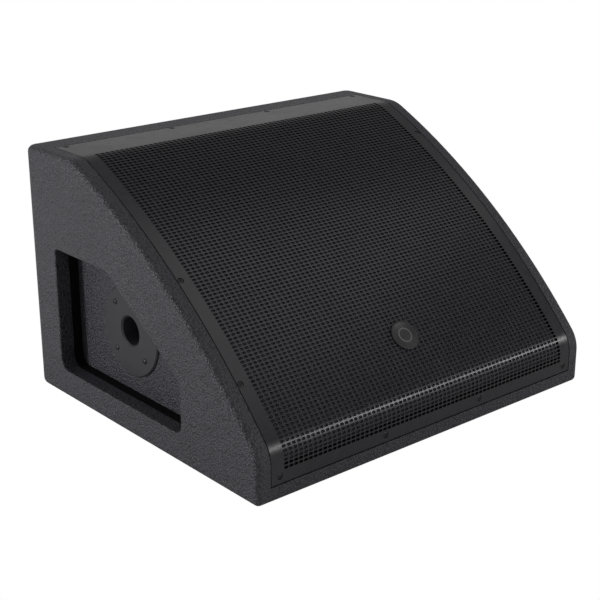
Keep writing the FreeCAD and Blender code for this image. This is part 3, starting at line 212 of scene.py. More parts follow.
class Effects:
    """Builds each shared shader group once. All patterns read Object coordinates, in metres."""

    def __init__(self) -> None:
        """Builds the texture groups and the handling group."""
        makers = {
            Surface.PEBBLE: self._pebble,
            Surface.GRAIN: self._grain,
            Surface.STREAK: self._streak,
            Surface.FIBRE: self._fibre,
            Surface.CELL: self._cell,
        }
        self.textures = {kind: self._texture(kind.value, maker) for kind, maker in makers.items()}
        self.handling = self._handling()

    def _texture(self, name: str, maker: Callable) -> bpy.types.NodeTree:
        """A texture group.

        Args:
            name: the group's name.
            maker: fills the group, from a Graph, the pattern's scale and its coordinates.

        Returns:
            A group with the inputs Size and Stretch and the outputs Shade and Height.
        """
        tree, graph, source, sink = new_group(
            name, "ShaderNodeTree", {"Size": "NodeSocketFloat", "Stretch": "NodeSocketVector"},
            {"Shade": "NodeSocketFloat", "Height": "NodeSocketFloat"})
        place = graph.add("ShaderNodeTexCoord").outputs["Object"]
        turned = graph.vector("MULTIPLY", place, source.outputs["Stretch"])
        scale = graph.math("DIVIDE", 1.0, source.outputs["Size"])
        shade, height = maker(graph, scale, turned)
        graph.put(sink.inputs["Shade"], shade)
        graph.put(sink.inputs["Height"], height)
        return tree

    @staticmethod
    def _noise(graph: Graph, place: Socket, scale: Socket, detail: float, rough: float = 0.5) -> Socket:
        """A noise between about 0 and 1."""
        node = graph.add("ShaderNodeTexNoise", {"Vector": place, "Scale": scale, "Detail": detail,
                                                "Roughness": rough})
        return node.outputs[0]

    def _pebble(self, graph: Graph, scale: Socket, place: Socket) -> tuple[Socket, Socket]:
        """Rounded drops of thick paint, of two sizes, with fine dimples over them."""
        soft = {"Vector": place, "Scale": scale, "Smoothness": 0.7, "Randomness": 1.0}
        drops = graph.add("ShaderNodeTexVoronoi", soft, feature="SMOOTH_F1").outputs["Distance"]
        domes = graph.ramp(drops, 0.15, 0.75, 1.0, 0.0)
        broad = self._noise(graph, place, graph.math("MULTIPLY", scale, 0.45), 2.0)
        fine = self._noise(graph, place, graph.math("MULTIPLY", scale, 2.6), 3.0, 0.6)
        height = graph.math("ADD", graph.math("MULTIPLY", domes, 0.7), graph.math("MULTIPLY", broad, 0.6))
        height = graph.math("ADD", height, graph.math("MULTIPLY", fine, 0.35))
        # The colour follows the drops: lighter on their tops and darker in the hollows between them. This is
        # painted highlight and painted shade on the pebbles, with random tone from the fine noise.
        shade = graph.ramp(graph.math("ADD", graph.math("MULTIPLY", domes, 0.5), fine), 0.45, 1.1, 0.0, 1.0)
        return shade, height

    def _grain(self, graph: Graph, scale: Socket, place: Socket) -> tuple[Socket, Socket]:
        """The fine even grain of a moulded or powder-coated face."""
        fine = self._noise(graph, place, scale, 4.0, 0.6)
        broad = self._noise(graph, place, graph.math("MULTIPLY", scale, 0.06), 3.0)
        shade = graph.ramp(graph.math("ADD", fine, broad), 0.75, 1.25, 0.0, 1.0)
        return shade, fine

    def _streak(self, graph: Graph, scale: Socket, place: Socket) -> tuple[Socket, Socket]:
        """Long streaks, as on drawn metal or along wood."""
        long = self._noise(graph, place, scale, 5.0, 0.65)
        wide = self._noise(graph, place, graph.math("MULTIPLY", scale, 0.2), 3.0)
        both = graph.math("ADD", graph.math("MULTIPLY", long, 0.6), graph.math("MULTIPLY", wide, 0.4))
        return graph.ramp(both, 0.35, 0.65, 0.0, 1.0), both

    def _fibre(self, graph: Graph, scale: Socket, place: Socket) -> tuple[Socket, Socket]:
        """Short fibres pressed together."""
        bend = graph.add("ShaderNodeTexNoise", {"Vector": place, "Scale": graph.math("MULTIPLY", scale, 0.4)})
        moved = graph.vector("ADD", place, graph.vector("SCALE", bend.outputs["Color"], 0.004))
        hairs = self._noise(graph, moved, scale, 6.0, 0.75)
        return graph.ramp(hairs, 0.35, 0.65, 0.0, 1.0), hairs

    def _cell(self, graph: Graph, scale: Socket, place: Socket) -> tuple[Socket, Socket]:
        """The open cells of reticulated foam."""
        values = {"Vector": place, "Scale": scale, "Randomness": 1.0}
        walls = graph.add("ShaderNodeTexVoronoi", values, feature="DISTANCE_TO_EDGE").outputs["Distance"]
        # Darker inside the cells than on the strands round them: painted shade in the open cells.
        shade = graph.ramp(walls, 0.04, 0.3, 1.0, 0.0)
        return shade, shade

    @staticmethod
    def _handling() -> bpy.types.NodeTree:
        """Faint settled dust and finger smears.

        Returns:
            A group with the input Size and the outputs Smear and Dust.
        """
        tree, graph, source, sink = new_group("handling", "ShaderNodeTree", {"Size": "NodeSocketFloat"},
                                              {"Smear": "NodeSocketFloat", "Dust": "NodeSocketFloat"})
        place = graph.add("ShaderNodeTexCoord").outputs["Object"]
        scale = graph.math("DIVIDE", 1.0, source.outputs["Size"])
        cloud = Effects._noise(graph, place, scale, 4.0)
        speck = Effects._noise(graph, place, graph.math("MULTIPLY", scale, 40.0), 2.0)
        facing = graph.add("ShaderNodeSeparateXYZ", {0: graph.add("ShaderNodeNewGeometry").outputs["Normal"]})
        level = graph.ramp(facing.outputs["Z"], 0.3, 1.0, 0.0, 1.0)
        specks = graph.math("MULTIPLY", graph.ramp(speck, 0.5, 0.75, 0.0, 1.0), level)
        graph.put(sink.inputs["Smear"], graph.ramp(cloud, 0.4, 0.65, 0.0, 1.0))
        graph.put(sink.inputs["Dust"], graph.math("MULTIPLY", specks, cloud))
        return tree


# ---- Finishes ----

@dataclass(frozen=True)
class Finish:
    """One finish of the wedge. Sizes are in millimetres, colours are linear."""

    slot: str
    low: Colour
    high: Colour
    rough: tuple[float, float]
    surface: Surface
    size: float
    relief: float
    stretch: Point = (1.0, 1.0, 1.0)
    metallic: float = 0.0
    coat: float = 0.0
    coat_rough: float = 0.2
    specular: float = 0.5
    dust: float = 0.12
    dust_colour: Colour = (0.2, 0.19, 0.18)
    smear_size: float = 60.0
    smear: float = 0.05
    glow: Colour | None = None

    def build(self, effects: Effects) -> bpy.types.Material:
        """Builds the material.

        Args:
            effects: the shared shader groups.

        Returns:
            The material, named after the slot.
        """
        material = bpy.data.materials.new(self.slot + "_finish")
        material.use_nodes = True
        material.node_tree.nodes.clear()
        graph = Graph(material.node_tree)
        texture = graph.group(effects.textures[self.surface],
                              {"Size": mm(self.size), "Stretch": self.stretch})
        handling = graph.group(effects.handling, {"Size": mm(self.smear_size)})
        colour = graph.mix(texture.outputs["Shade"], self.low, self.high)
        dusty = graph.math("MULTIPLY", handling.outputs["Dust"], self.dust)
        colour = graph.mix(dusty, colour, self.dust_colour)
        rough = graph.ramp(texture.outputs["Shade"], 0.0, 1.0, *self.rough)
        rough = graph.math("ADD", rough, graph.math("MULTIPLY", handling.outputs["Smear"], self.smear))
        bump = graph.add("ShaderNodeBump", {"Height": texture.outputs["Height"], "Distance": mm(self.relief),
                                            "Strength": 1.0})
        shader = graph.add("ShaderNodeBsdfPrincipled", {
            "Base Color": colour, "Roughness": rough, "Normal": bump.outputs[0], "Metallic": self.metallic,
            "Coat Weight": self.coat, "Coat Roughness": self.coat_rough, "Specular IOR Level": self.specular})
        if self.glow:
            shader.inputs["Emission Color"].default_value = (*self.glow, 1.0)
            shader.inputs["Emission Strength"].default_value = 1.0
        output = graph.add("ShaderNodeOutputMaterial")
        graph.put(output.inputs["Surface"], shader.outputs[0])
        return material


FINISHES = (
    # textured_paint: the wide step from its low to its high colour paints highlight and shade on the pebbles.
    Finish("textured_paint", (0.012, 0.0116, 0.0148), (0.07, 0.0675, 0.0855), (0.34, 0.5), Surface.PEBBLE,
           2.2, 1.1, smear_size=120.0, specular=0.45),
    # smooth_black_paint lines the side recesses. Its near-black colour and low specular are painted shade:
    # they darken the recess walls where shade falls inside the recess.
    Finish("smooth_black_paint", (0.0025, 0.0025, 0.003), (0.004, 0.004, 0.0045), (0.6, 0.7),
           Surface.GRAIN, 0.6, 0.03, specular=0.1, dust=0.0),
    Finish("plain_wood", (0.42, 0.29, 0.17), (0.62, 0.47, 0.30), (0.6, 0.75), Surface.STREAK, 2.5, 0.08,
           stretch=(0.08, 1.0, 1.0), dust=0.2),
    Finish("grille_coat", (0.0135, 0.0131, 0.0165), (0.0195, 0.0189, 0.0233), (0.22, 0.28), Surface.GRAIN,
           0.5, 0.02, specular=0.5, dust=0.0),
    Finish("foam", (0.078, 0.078, 0.091), (0.169, 0.169, 0.195), (0.9, 1.0), Surface.CELL, 1.6, 0.8,
           specular=0.1, dust=0.0),
    Finish("badge", (0.015, 0.015, 0.0173), (0.0205, 0.02, 0.0228), (0.36, 0.46), Surface.GRAIN, 0.35,
           0.015),
    Finish("badge_inlay", (0.13, 0.13, 0.14), (0.17, 0.17, 0.18), (0.25, 0.35), Surface.STREAK, 0.3, 0.01,
           stretch=(0.1, 1.0, 1.0), metallic=0.6),
    Finish("black_steel", (0.022, 0.0215, 0.025), (0.04, 0.039, 0.044), (0.28, 0.42), Surface.GRAIN, 0.3,
           0.015, metallic=0.35),
    Finish("socket_plastic", (0.028, 0.0272, 0.033), (0.038, 0.037, 0.045), (0.4, 0.5), Surface.GRAIN,
           0.45, 0.02, specular=0.4),
    Finish("connector_shell", (0.018, 0.018, 0.02), (0.03, 0.03, 0.033), (0.3, 0.42), Surface.GRAIN, 0.25,
           0.015),
    Finish("contact_metal", (0.55, 0.52, 0.46), (0.72, 0.69, 0.62), (0.18, 0.3), Surface.STREAK, 0.3,
           0.008, stretch=(0.1, 1.0, 1.0), metallic=1.0),
    Finish("latch_plastic", (0.14, 0.14, 0.15), (0.2, 0.2, 0.21), (0.35, 0.45), Surface.GRAIN, 0.25,
           0.015),
    Finish("rocker_plastic", (0.02, 0.02, 0.021), (0.03, 0.03, 0.032), (0.22, 0.32), Surface.GRAIN, 0.3,
           0.01, coat=0.3),
    Finish("control_plastic", (0.02, 0.02, 0.022), (0.034, 0.034, 0.037), (0.4, 0.52), Surface.GRAIN, 0.3,
           0.025),
    Finish("control_metal", (0.4, 0.4, 0.41), (0.58, 0.58, 0.6), (0.2, 0.34), Surface.STREAK, 0.3, 0.01,
           stretch=(1.0, 0.1, 0.1), metallic=1.0),
    Finish("lens", (0.03, 0.26, 0.06), (0.05, 0.36, 0.09), (0.08, 0.14), Surface.GRAIN, 0.6, 0.004,
           coat=1.0, coat_rough=0.05, dust=0.0, glow=(0.004, 0.05, 0.01)),
    Finish("panel_paint", (0.017, 0.017, 0.0185), (0.028, 0.028, 0.031), (0.4, 0.55), Surface.GRAIN, 0.4,
           0.04),
    Finish("panel_print", (0.5, 0.5, 0.5), (0.62, 0.62, 0.61), (0.5, 0.6), Surface.GRAIN, 0.3, 0.01),
    Finish("heatsink_black", (0.018, 0.018, 0.02), (0.034, 0.034, 0.037), (0.35, 0.5), Surface.STREAK,
           0.5, 0.03, stretch=(1.0, 1.0, 0.08), metallic=0.5),
    Finish("board", (0.02, 0.09, 0.04), (0.035, 0.14, 0.06), (0.25, 0.4), Surface.GRAIN, 0.8, 0.03,
           coat=0.5),
    Finish("board_brass", (0.55, 0.4, 0.16), (0.72, 0.55, 0.26), (0.25, 0.4), Surface.STREAK, 0.4, 0.01,
           metallic=1.0),
    Finish("transformer", (0.03, 0.03, 0.032), (0.1, 0.1, 0.1), (0.4, 0.6), Surface.STREAK, 0.7, 0.08,
           stretch=(1.0, 0.06, 0.06), metallic=0.6),
    Finish("capacitor_sleeve", (0.012, 0.02, 0.05), (0.02, 0.032, 0.08), (0.25, 0.35), Surface.GRAIN, 0.5,
           0.01, coat=0.4),
    Finish("cast_frame", (0.03, 0.03, 0.032), (0.055, 0.055, 0.058), (0.45, 0.65), Surface.PEBBLE, 0.9,
           0.08, metallic=0.4),
    Finish("motor_steel", (0.3, 0.3, 0.31), (0.48, 0.47, 0.46), (0.25, 0.45), Surface.GRAIN, 0.5, 0.02,
           metallic=1.0),
    Finish("ferrite", (0.035, 0.034, 0.034), (0.07, 0.068, 0.066), (0.5, 0.7), Surface.GRAIN, 0.8, 0.05),
    Finish("cone_paper", (0.02, 0.02, 0.02), (0.045, 0.044, 0.042), (0.75, 0.95), Surface.FIBRE, 2.0,
           0.12),
    Finish("coil_copper", (0.62, 0.25, 0.12), (0.82, 0.4, 0.22), (0.22, 0.38), Surface.STREAK, 0.4, 0.03,
           stretch=(0.1, 0.1, 1.0), metallic=1.0),
    Finish("rubber", (0.014, 0.014, 0.015), (0.026, 0.026, 0.027), (0.6, 0.75), Surface.GRAIN, 0.7, 0.03),
    Finish("spider_cloth", (0.3, 0.2, 0.08), (0.5, 0.36, 0.17), (0.8, 0.95), Surface.FIBRE, 1.2, 0.15),
    Finish("felt", (0.3, 0.3, 0.29), (0.52, 0.51, 0.49), (0.9, 1.0), Surface.FIBRE, 4.0, 0.9,
           specular=0.15),
)


class Paintbox:
    """Holds the materials and puts them on pieces."""

    def __init__(self, finishes: Iterable[Finish]) -> None:
        """Builds every material.

        Args:
            finishes: the finishes of the wedge.
        """
        effects = Effects()
        self.materials = {finish.slot: finish.build(effects) for finish in finishes}

    def dress_frame(self, nodes: dict[str, bpy.types.Object]) -> None:
        """Gives each CAD node the finish of its slot."""
        for node in nodes.values():
            for holder in node.material_slots:
                holder.material = self.materials[holder.material.name.split(".")[0]]

    def __getitem__(self, slot: str) -> bpy.types.Material:
        """The material of a slot."""
        return self.materials[slot]


# ---- Making pieces ----

class Workshop:
    """Turns vertices, node trees and CAD bodies into finished pieces."""

    SHARP_ANGLE = math.radians(35.0)

    def __init__(self, paint: Paintbox) -> None:
        """Keeps the paint.

        Args:
            paint: the materials of the wedge.
        """
        self.paint = paint

    @staticmethod
    def mesh_object(name: str, points: Sequence, faces: Sequence, edges: Sequence = ()) -> bpy.types.Object:
        """A new mesh object at the origin."""
        mesh = bpy.data.meshes.new(name)
        mesh.from_pydata([tuple(p) for p in points], list(edges), list(faces))
        return add_object(name, mesh)

    @staticmethod
    def feed(piece: bpy.types.Object, tree: bpy.types.NodeTree, values: dict[str, object]) -> None:
        """Puts a geometry node tree on a piece.

        Args:
            piece: the object whose mesh the tree starts from.
            tree: the geometry node tree.
            values: the tree's inputs by name. They are set by the socket's identifier.
        """
        modifier = piece.modifiers.new(tree.name, "NODES")
        modifier.node_group = tree
        for item in tree.interface.items_tree:
            if item.item_type == "SOCKET" and item.in_out == "INPUT" and item.name in values:
                modifier[item.identifier] = values[item.name]

    @staticmethod
    def settle(piece: bpy.types.Object) -> bpy.types.Object:
        """Turns a piece's modifiers into its mesh."""
        bpy.context.view_layer.update()
        evaluated = piece.evaluated_get(bpy.context.evaluated_depsgraph_get())
        mesh = bpy.data.meshes.new_from_object(evaluated)
        piece.modifiers.clear()
        piece.data = mesh
        mesh.name = piece.name
        return piece

    def shade(self, piece: bpy.types.Object, angle: float | None = None) -> None:
        """Shades a piece smooth, with sharp edges where it turns by more than an angle."""
        piece.data.shade_smooth()
        piece.data.set_sharp_from_angle(angle=angle or self.SHARP_ANGLE)

    def turned(self, name: str, section: Sequence[tuple[float, float]], steps: int) -> bpy.types.Object:
        """A closed piece, turned about Z from a section and shaded."""
        piece = self.mesh_object(name, *lathe(section, steps))
        outward(piece)
        self.shade(piece)
        return piece

    def mount(self, piece: bpy.types.Object, slot: str, stands_for: Sequence[str] = (),
              body: str = CABINET, finish: str | None = None) -> bpy.types.Object:
        """Finishes a piece and puts it on its body.

        Args:
            piece: the piece, already in place.
            slot: the record's slot, which is also its finish unless one is given.
            stands_for: the CAD nodes that it replaces.
            body: the CAD body that it rides on.
            finish: a finish of its own, for print and inlays.

        Returns:
            The same piece.
        """
        piece.data.materials.clear()
        piece.data.materials.append(self.paint[finish or slot])
        if stands_for:
            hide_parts(*stands_for)
        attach(piece, body)
        LOG.info("%s: %d faces on %s", piece.name, len(piece.data.polygons), body)
        return piece

    @staticmethod
    def discard(*helpers: bpy.types.Object) -> None:
        """Removes objects that only helped to make others."""
        for helper in helpers:
            bpy.data.objects.remove(helper)


def outward(piece: bpy.types.Object) -> None:
    """Merges doubles and turns the faces of a closed mesh outwards."""
    mesh = bmesh.new()
    mesh.from_mesh(piece.data)
    bmesh.ops.remove_doubles(mesh, verts=mesh.verts, dist=1e-6)
    bmesh.ops.recalc_face_normals(mesh, faces=mesh.faces)
    mesh.to_mesh(piece.data)
    mesh.free()


def lathe(section: Sequence[tuple[float, float]], steps: int) -> tuple[list[Vector], list[tuple]]:
    """Turns a closed section about Z.

    Args:
        section: (radius, height) points. A radius of 0 becomes one pole.
        steps: how many steps make the circle.

    Returns:
        The vertices and the faces.
    """
    points, rings = [], []
    for radius, height in section:
        if radius == 0.0:
            rings.append([len(points)] * steps)
            points.append(Vector((0.0, 0.0, height)))
            continue
        rings.append(list(range(len(points), len(points) + steps)))
        for step in range(steps):
            turn = 2 * math.pi * step / steps
            points.append(Vector((radius * math.cos(turn), radius * math.sin(turn), height)))
    faces = []
    closed = section[0][0] > 0.0
    pairs = list(zip(rings, rings[1:])) + ([(rings[-1], rings[0])] if closed else [])
    for lower, upper in pairs:
        for step in range(steps):
            after = (step + 1) % steps
            ring = [lower[step], lower[after], upper[after], upper[step]]
            ring = list(dict.fromkeys(ring))
            if len(ring) > 2:
                faces.append(tuple(ring))
    return points, faces


# ---- The side outline ----

@dataclass(frozen=True)
class Outline:
    """The cabinet's side outline: top flat, three arcs and front flat. Metres."""

    top_flat: float = 0.1017
    top_bend: float = 0.0529
    slope_radius: float = 0.9764
    front_bend: float = 0.0428
    front_flat: float = 0.043
    foot: float = 0.003

    @property
    def rear(self) -> float:
        """Where the rear face is, along Y."""
        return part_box("rear_panel")[1].y

    @property
    def top(self) -> float:
        """How high the top face is."""
        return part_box("rear_panel")[1].z

    def arcs(self) -> list[tuple[tuple[float, float], float, float, float]]:
        """Each arc's centre (y, z), its radius, and the turn at its two ends."""
        first = (self.rear - self.top_flat, self.top - self.top_bend)
        last = (-self.rear + self.front_bend, self.foot + self.front_flat)
        reach = (self.slope_radius - self.top_bend, self.slope_radius - self.front_bend)
        apart = math.dist(first, last)
        share = (reach[0] ** 2 - reach[1] ** 2 + apart ** 2) / (2 * apart)
        drop = math.sqrt(reach[0] ** 2 - share ** 2)
        unit = ((last[0] - first[0]) / apart, (last[1] - first[1]) / apart)
        middle = (first[0] + share * unit[0] - drop * unit[1], first[1] + share * unit[1] + drop * unit[0])
        start = math.atan2(middle[0] - first[0], first[1] - middle[1])
        end = math.atan2(middle[0] - last[0], last[1] - middle[1])
        return [(first, self.top_bend, 0.0, start), (middle, self.slope_radius, start, end),
                (last, self.front_bend, end, math.pi / 2)]

    def at_run(self, run: float) -> tuple[Vector, Vector]:
        """A place on the outline.

        Args:
            run: the way along the outline from its rear top edge.

        Returns:
            The point at x = 0 and the outward direction there.
        """
        if run <= self.top_flat:
            return Vector((0.0, self.rear - run, self.top)), Vector((0.0, 0.0, 1.0))
        left = run - self.top_flat
        for centre, radius, start, end in self.arcs():
            if left <= radius * (end - start):
                turn = start + left / radius
                out = Vector((0.0, -math.sin(turn), math.cos(turn)))
                return Vector((0.0, *centre)) + out * radius, out
            left -= radius * (end - start)
        return Vector((0.0, -self.rear, self.foot + self.front_flat - left)), Vector((0.0, -1.0, 0.0))

    def length(self) -> float:
        """The whole way along the outline."""
        turned = sum(radius * (end - start) for _, radius, start, end in self.arcs())
        return self.top_flat + turned + self.front_flat

    def line(self, name: str, step: float = 0.0015) -> bpy.types.Object:
        """The outline as a chain of short edges, for a node tree to follow."""
        count = math.ceil(self.length() / step)
        points = [self.at_run(self.length() * n / count)[0] for n in range(count + 1)]
        return Workshop.mesh_object(name, points, [], [(n, n + 1) for n in range(count)])


def follow_outline_tree() -> bpy.types.NodeTree:
    """The geometry node group that bends a flat sheet over the outline.

    Returns:
        A group that reads a point's Y as its run along the outline and its Z as its height off it.
    """
    tree, graph, source, sink = new_group(
        "follow outline", "GeometryNodeTree",
        {"Geometry": "NodeSocketGeometry", "Outline": "NodeSocketObject"}, {"Geometry": "NodeSocketGeometry"})
    line = graph.add("GeometryNodeObjectInfo", {"Object": source.outputs["Outline"]})
    curve = graph.add("GeometryNodeMeshToCurve", {"Mesh": line.outputs["Geometry"]})
    flat = graph.add("ShaderNodeSeparateXYZ", {0: graph.add("GeometryNodeInputPosition").outputs[0]})
    sample = graph.add("GeometryNodeSampleCurve", {"Curves": curve.outputs[0], "Length": flat.outputs["Y"]},
                       mode="LENGTH")
    across = graph.add("ShaderNodeCombineXYZ", {"X": 1.0}).outputs[0]
    out = graph.vector("CROSS_PRODUCT", sample.outputs["Tangent"], across)
    lift = graph.vector("SCALE", out, flat.outputs["Z"])
    side = graph.add("ShaderNodeCombineXYZ", {"X": flat.outputs["X"]}).outputs[0]
    place = graph.vector("ADD", graph.vector("ADD", sample.outputs["Position"], lift), side)
    moved = graph.add("GeometryNodeSetPosition", {"Geometry": source.outputs["Geometry"], "Position": place})
    graph.put(sink.inputs[0], moved.outputs[0])
    return tree


# ---- Grille ----

@dataclass
class PerforatedGrille:
    """The steel grille: one curved sheet with long holes in straight rows. Metres."""

    shop: Workshop
    outline: Outline
    bend: bpy.types.NodeTree
    columns: int = 66
    column_pitch: float = 0.007
    row_pitch: float = 0.0049
    first_row: float = 0.1079
    bands: tuple[int, ...] = (32, 32, 31)
    hole_half_length: float = 0.0031
    hole_radius: float = 0.0017
    thickness: float = 0.0014
    setback: float = 0.046
    sill: float = 0.0203
    edge_round: float = 0.0004
    dimple: float = 0.0039
    dimple_lip: float = 0.0006
    throat: float = 0.0018
    throat_depth: float = 0.0016
    cut_depth: float = 0.004
    weld: float = 0.00002

    DIMPLE_STEPS = 24
    END_TURNS = (90.0, 54.0, 18.0, -18.0, -54.0, -90.0)

    def hole_loop(self) -> list[tuple[float, float]]:
        """The twelve corners of a long hole about (0, 0)."""
        reach = self.hole_half_length - self.hole_radius
        right = [(reach + self.hole_radius * math.cos(math.radians(turn)),
                  self.hole_radius * math.sin(math.radians(turn))) for turn in self.END_TURNS]
        return right + [(-x, -y) for x, y in right]

    def cell_loop(self) -> list[tuple[float, float]]:
        """The twelve points round a cell that the hole's corners are joined to."""
        x, y = self.column_pitch / 2, self.row_pitch / 2
        right = [(x / 3, y), (x, y), (x, y / 3), (x, -y / 3), (x, -y), (x / 3, -y)]
        return right + [(-across, -along) for across, along in right]

    def cell(self) -> bpy.types.Object:
        """One flat cell: the steel round one hole, front, back and wall."""
        loops = [(self.cell_loop(), 0.0), (self.hole_loop(), 0.0), (self.hole_loop(), -self.thickness),
                 (self.cell_loop(), -self.thickness)]
        points = [(x, y, z) for loop, z in loops for x, y in loop]
        count = len(self.cell_loop())
        faces = []
        for ring in range(len(loops) - 1):
            for n in range(count):
                after = (n + 1) % count
                base = ring * count
                faces.append((base + n, base + count + n, base + count + after, base + after))
        return self.shop.mesh_object("grille_cell", points, [tuple(reversed(f)) for f in faces])

    def _lines(self, band: int) -> tuple[list[float], list[float], tuple[float, float, float, float]]:
        """Where the margin's mesh lines run.

        Args:
            band: the band's number, from the top.

        Returns:
            The x lines, the run lines, and the box that the holes take up (x and run, low and high).
        """
        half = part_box("grille")[1].x
        field_x = self.columns * self.column_pitch / 2
        before = sum(self.bands[:band])
        low = self.first_row - self.row_pitch / 2 + before * self.row_pitch
        high = low + self.bands[band] * self.row_pitch
        inner_x = self._steps(-field_x, self.columns, self.column_pitch)
        x_lines = [-half, -half + self.edge_round] + inner_x + [half - self.edge_round, half]
        runs = self._steps(low, self.bands[band], self.row_pitch)
        if band == 0:
            runs = self._edge_lines(self.setback, low) + runs[1:]
        if band == len(self.bands) - 1:
            end = self.outline.length() - self.sill
            runs = runs[:-1] + self._edge_lines(end, high)[::-1]
        return x_lines, runs, (-field_x, field_x, low, high)

    @staticmethod
    def _steps(start: float, cells: int, pitch: float) -> list[float]:
        """The lines through cells: each cell's edge and the two points between its edges."""
        third = pitch / 3
        offsets = [0.0, third, 2 * third]
        lines = [start + n * pitch + offset for n in range(cells) for offset in offsets]
        return lines + [start + cells * pitch]

    def _edge_lines(self, edge: float, field: float) -> list[float]:
        """Lines from the sheet's edge to the holes, with one close to the edge for its rounding."""
        count = max(2, round(abs(field - edge) / self.row_pitch))
        step = (field - edge) / count
        rounding = math.copysign(self.edge_round, step)
        return [edge, edge + rounding] + [edge + n * step for n in range(1, count + 1)]

    def margin(self, band: int) -> bpy.types.Object:
        """The flat steel round the holes of one band, closed at the sheet's edges."""
        x_lines, runs, (x_low, x_high, run_low, run_high) = self._lines(band)
        tiny = self.edge_round / 10
        points, faces = [], []
        number = {}
        outer = (min(x_lines), max(x_lines))
        ends = {self.setback, self.outline.length() - self.sill}

        def vertex(i: int, j: int, back: bool) -> int:
            """The number of a vertex, made when it is first asked for."""
            if (i, j, back) not in number:
                number[i, j, back] = len(points)
                at_edge = x_lines[i] in outer or any(abs(runs[j] - end) < tiny for end in ends)
                lower = self.edge_round if at_edge else 0.0
                points.append((x_lines[i], runs[j], -self.thickness if back else -lower))
            return number[i, j, back]

        def solid(i: int, j: int) -> bool:
            """Whether the sheet has steel between these lines."""
            if not (0 <= i < len(x_lines) - 1 and 0 <= j < len(runs) - 1):
                return False
            across = (x_lines[i] + x_lines[i + 1]) / 2
            along = (runs[j] + runs[j + 1]) / 2
            return not (x_low < across < x_high and run_low < along < run_high)

        for i in range(len(x_lines) - 1):
            for j in range(len(runs) - 1):
                if not solid(i, j):
                    continue
                ring = [(i, j), (i + 1, j), (i + 1, j + 1), (i, j + 1)]
                faces.append(tuple(vertex(a, b, False) for a, b in ring))
                faces.append(tuple(vertex(a, b, True) for a, b in reversed(ring)))
                for side, (di, dj) in enumerate(((0, -1), (1, 0), (0, 1), (-1, 0))):
                    a, b = ring[side], ring[(side + 1) % 4]
                    beyond = (i + di, j + dj)
                    if not (0 <= beyond[0] < len(x_lines) - 1 and 0 <= beyond[1] < len(runs) - 1):
                        faces.append((vertex(*b, False), vertex(*a, False),
                                      vertex(*a, True), vertex(*b, True)))
        return self.shop.mesh_object("grille_band_%d" % (band + 1), points, faces)

    def tree(self) -> bpy.types.NodeTree:
        """The tree that sets out the holes, joins the margin to them and bends the sheet."""
        whole, number, length = "NodeSocketObject", "NodeSocketInt", "NodeSocketFloat"
        tree, graph, source, sink = new_group(
            "perforated sheet", "GeometryNodeTree",
            {"Geometry": "NodeSocketGeometry", "Cell": whole, "Outline": whole, "Columns": number,
             "Rows": number, "Column Pitch": length, "Row Pitch": length, "First Row": length,
             "Material": "NodeSocketMaterial"}, {"Geometry": "NodeSocketGeometry"})
        values = source.outputs
        wide = graph.math("MULTIPLY", graph.math("SUBTRACT", values["Columns"], 1.0), values["Column Pitch"])
        tall = graph.math("MULTIPLY", graph.math("SUBTRACT", values["Rows"], 1.0), values["Row Pitch"])
        grid = graph.add("GeometryNodeMeshGrid", {
            "Size X": wide, "Size Y": tall, "Vertices X": values["Columns"], "Vertices Y": values["Rows"]})
        middle = graph.math("ADD", values["First Row"], graph.math("MULTIPLY", tall, 0.5))
        shift = graph.add("ShaderNodeCombineXYZ", {"Y": middle}).outputs[0]
        spots = graph.add("GeometryNodeTransform", {"Geometry": grid.outputs["Mesh"], "Translation": shift})
        cell = graph.add("GeometryNodeObjectInfo", {"Object": values["Cell"]})
        holes = graph.add("GeometryNodeInstanceOnPoints", {"Points": spots.outputs[0],
                                                           "Instance": cell.outputs["Geometry"]})
        real = graph.add("GeometryNodeRealizeInstances", {0: holes.outputs[0]})
        both = graph.add("GeometryNodeJoinGeometry")
        graph.put(both.inputs[0], real.outputs[0])
        graph.put(both.inputs[0], values["Geometry"])
        welded = graph.add("GeometryNodeMergeByDistance",
                           {"Geometry": both.outputs[0], "Distance": self.weld})
        bent = graph.group(self.bend, {"Geometry": welded.outputs[0], "Outline": values["Outline"]})
        graph.paint_and_end(sink, bent.outputs[0], values["Material"])
        return tree

    def build(self, screws: Sequence[tuple[Vector, Vector]]) -> list[bpy.types.Object]:
        """Builds the sheet in bands that abut, and sinks a dimple for each screw.

        Args:
            screws: where each screw goes and the direction it faces.

        Returns:
            The bands.
        """
        tree, cell, line = self.tree(), self.cell(), self.outline.line("grille_outline")
        bands = []
        for band, rows in enumerate(self.bands):
            piece = self.margin(band)
            first = self.first_row + sum(self.bands[:band]) * self.row_pitch
            self.shop.feed(piece, tree, {
                "Cell": cell, "Outline": line, "Columns": self.columns, "Rows": rows,
                "Column Pitch": self.column_pitch, "Row Pitch": self.row_pitch, "First Row": first,
                "Material": self.shop.paint["grille_coat"]})
            self.shop.settle(piece)
            self.sink_dimples(piece, screws)
            self.shop.shade(piece)
            bands.append(self.shop.mount(piece, "grille_coat", ["grille"]))
        self.shop.discard(cell, line)
        return bands

    def sink_dimples(self, piece: bpy.types.Object, screws: Sequence[tuple[Vector, Vector]]) -> None:
        """Cuts the screws' countersinks out of a band."""
        section = [(0.0, self.dimple_lip), (self.dimple + self.dimple_lip, self.dimple_lip),
                   (self.dimple, 0.0), (self.throat, -self.throat_depth), (self.throat, -self.cut_depth),
                   (0.0, -self.cut_depth)]
        points, faces = lathe(section, self.DIMPLE_STEPS)
        cutter_points, cutter_faces = [], []
        for place, out in screws:
            turn = out.to_track_quat("Z", "Y").to_matrix()
            base = len(cutter_points)
            cutter_points += [turn @ point + place for point in points]
            cutter_faces += [tuple(base + n for n in face) for face in faces]
        cutter = self.shop.mesh_object("dimples", cutter_points, cutter_faces)
        outward(cutter)
        modifier = piece.modifiers.new("dimples", "BOOLEAN")
        modifier.operation, modifier.object, modifier.solver = "DIFFERENCE", cutter, "EXACT"
        self.shop.settle(piece)
        self.shop.discard(cutter)


# ---- Screws ----

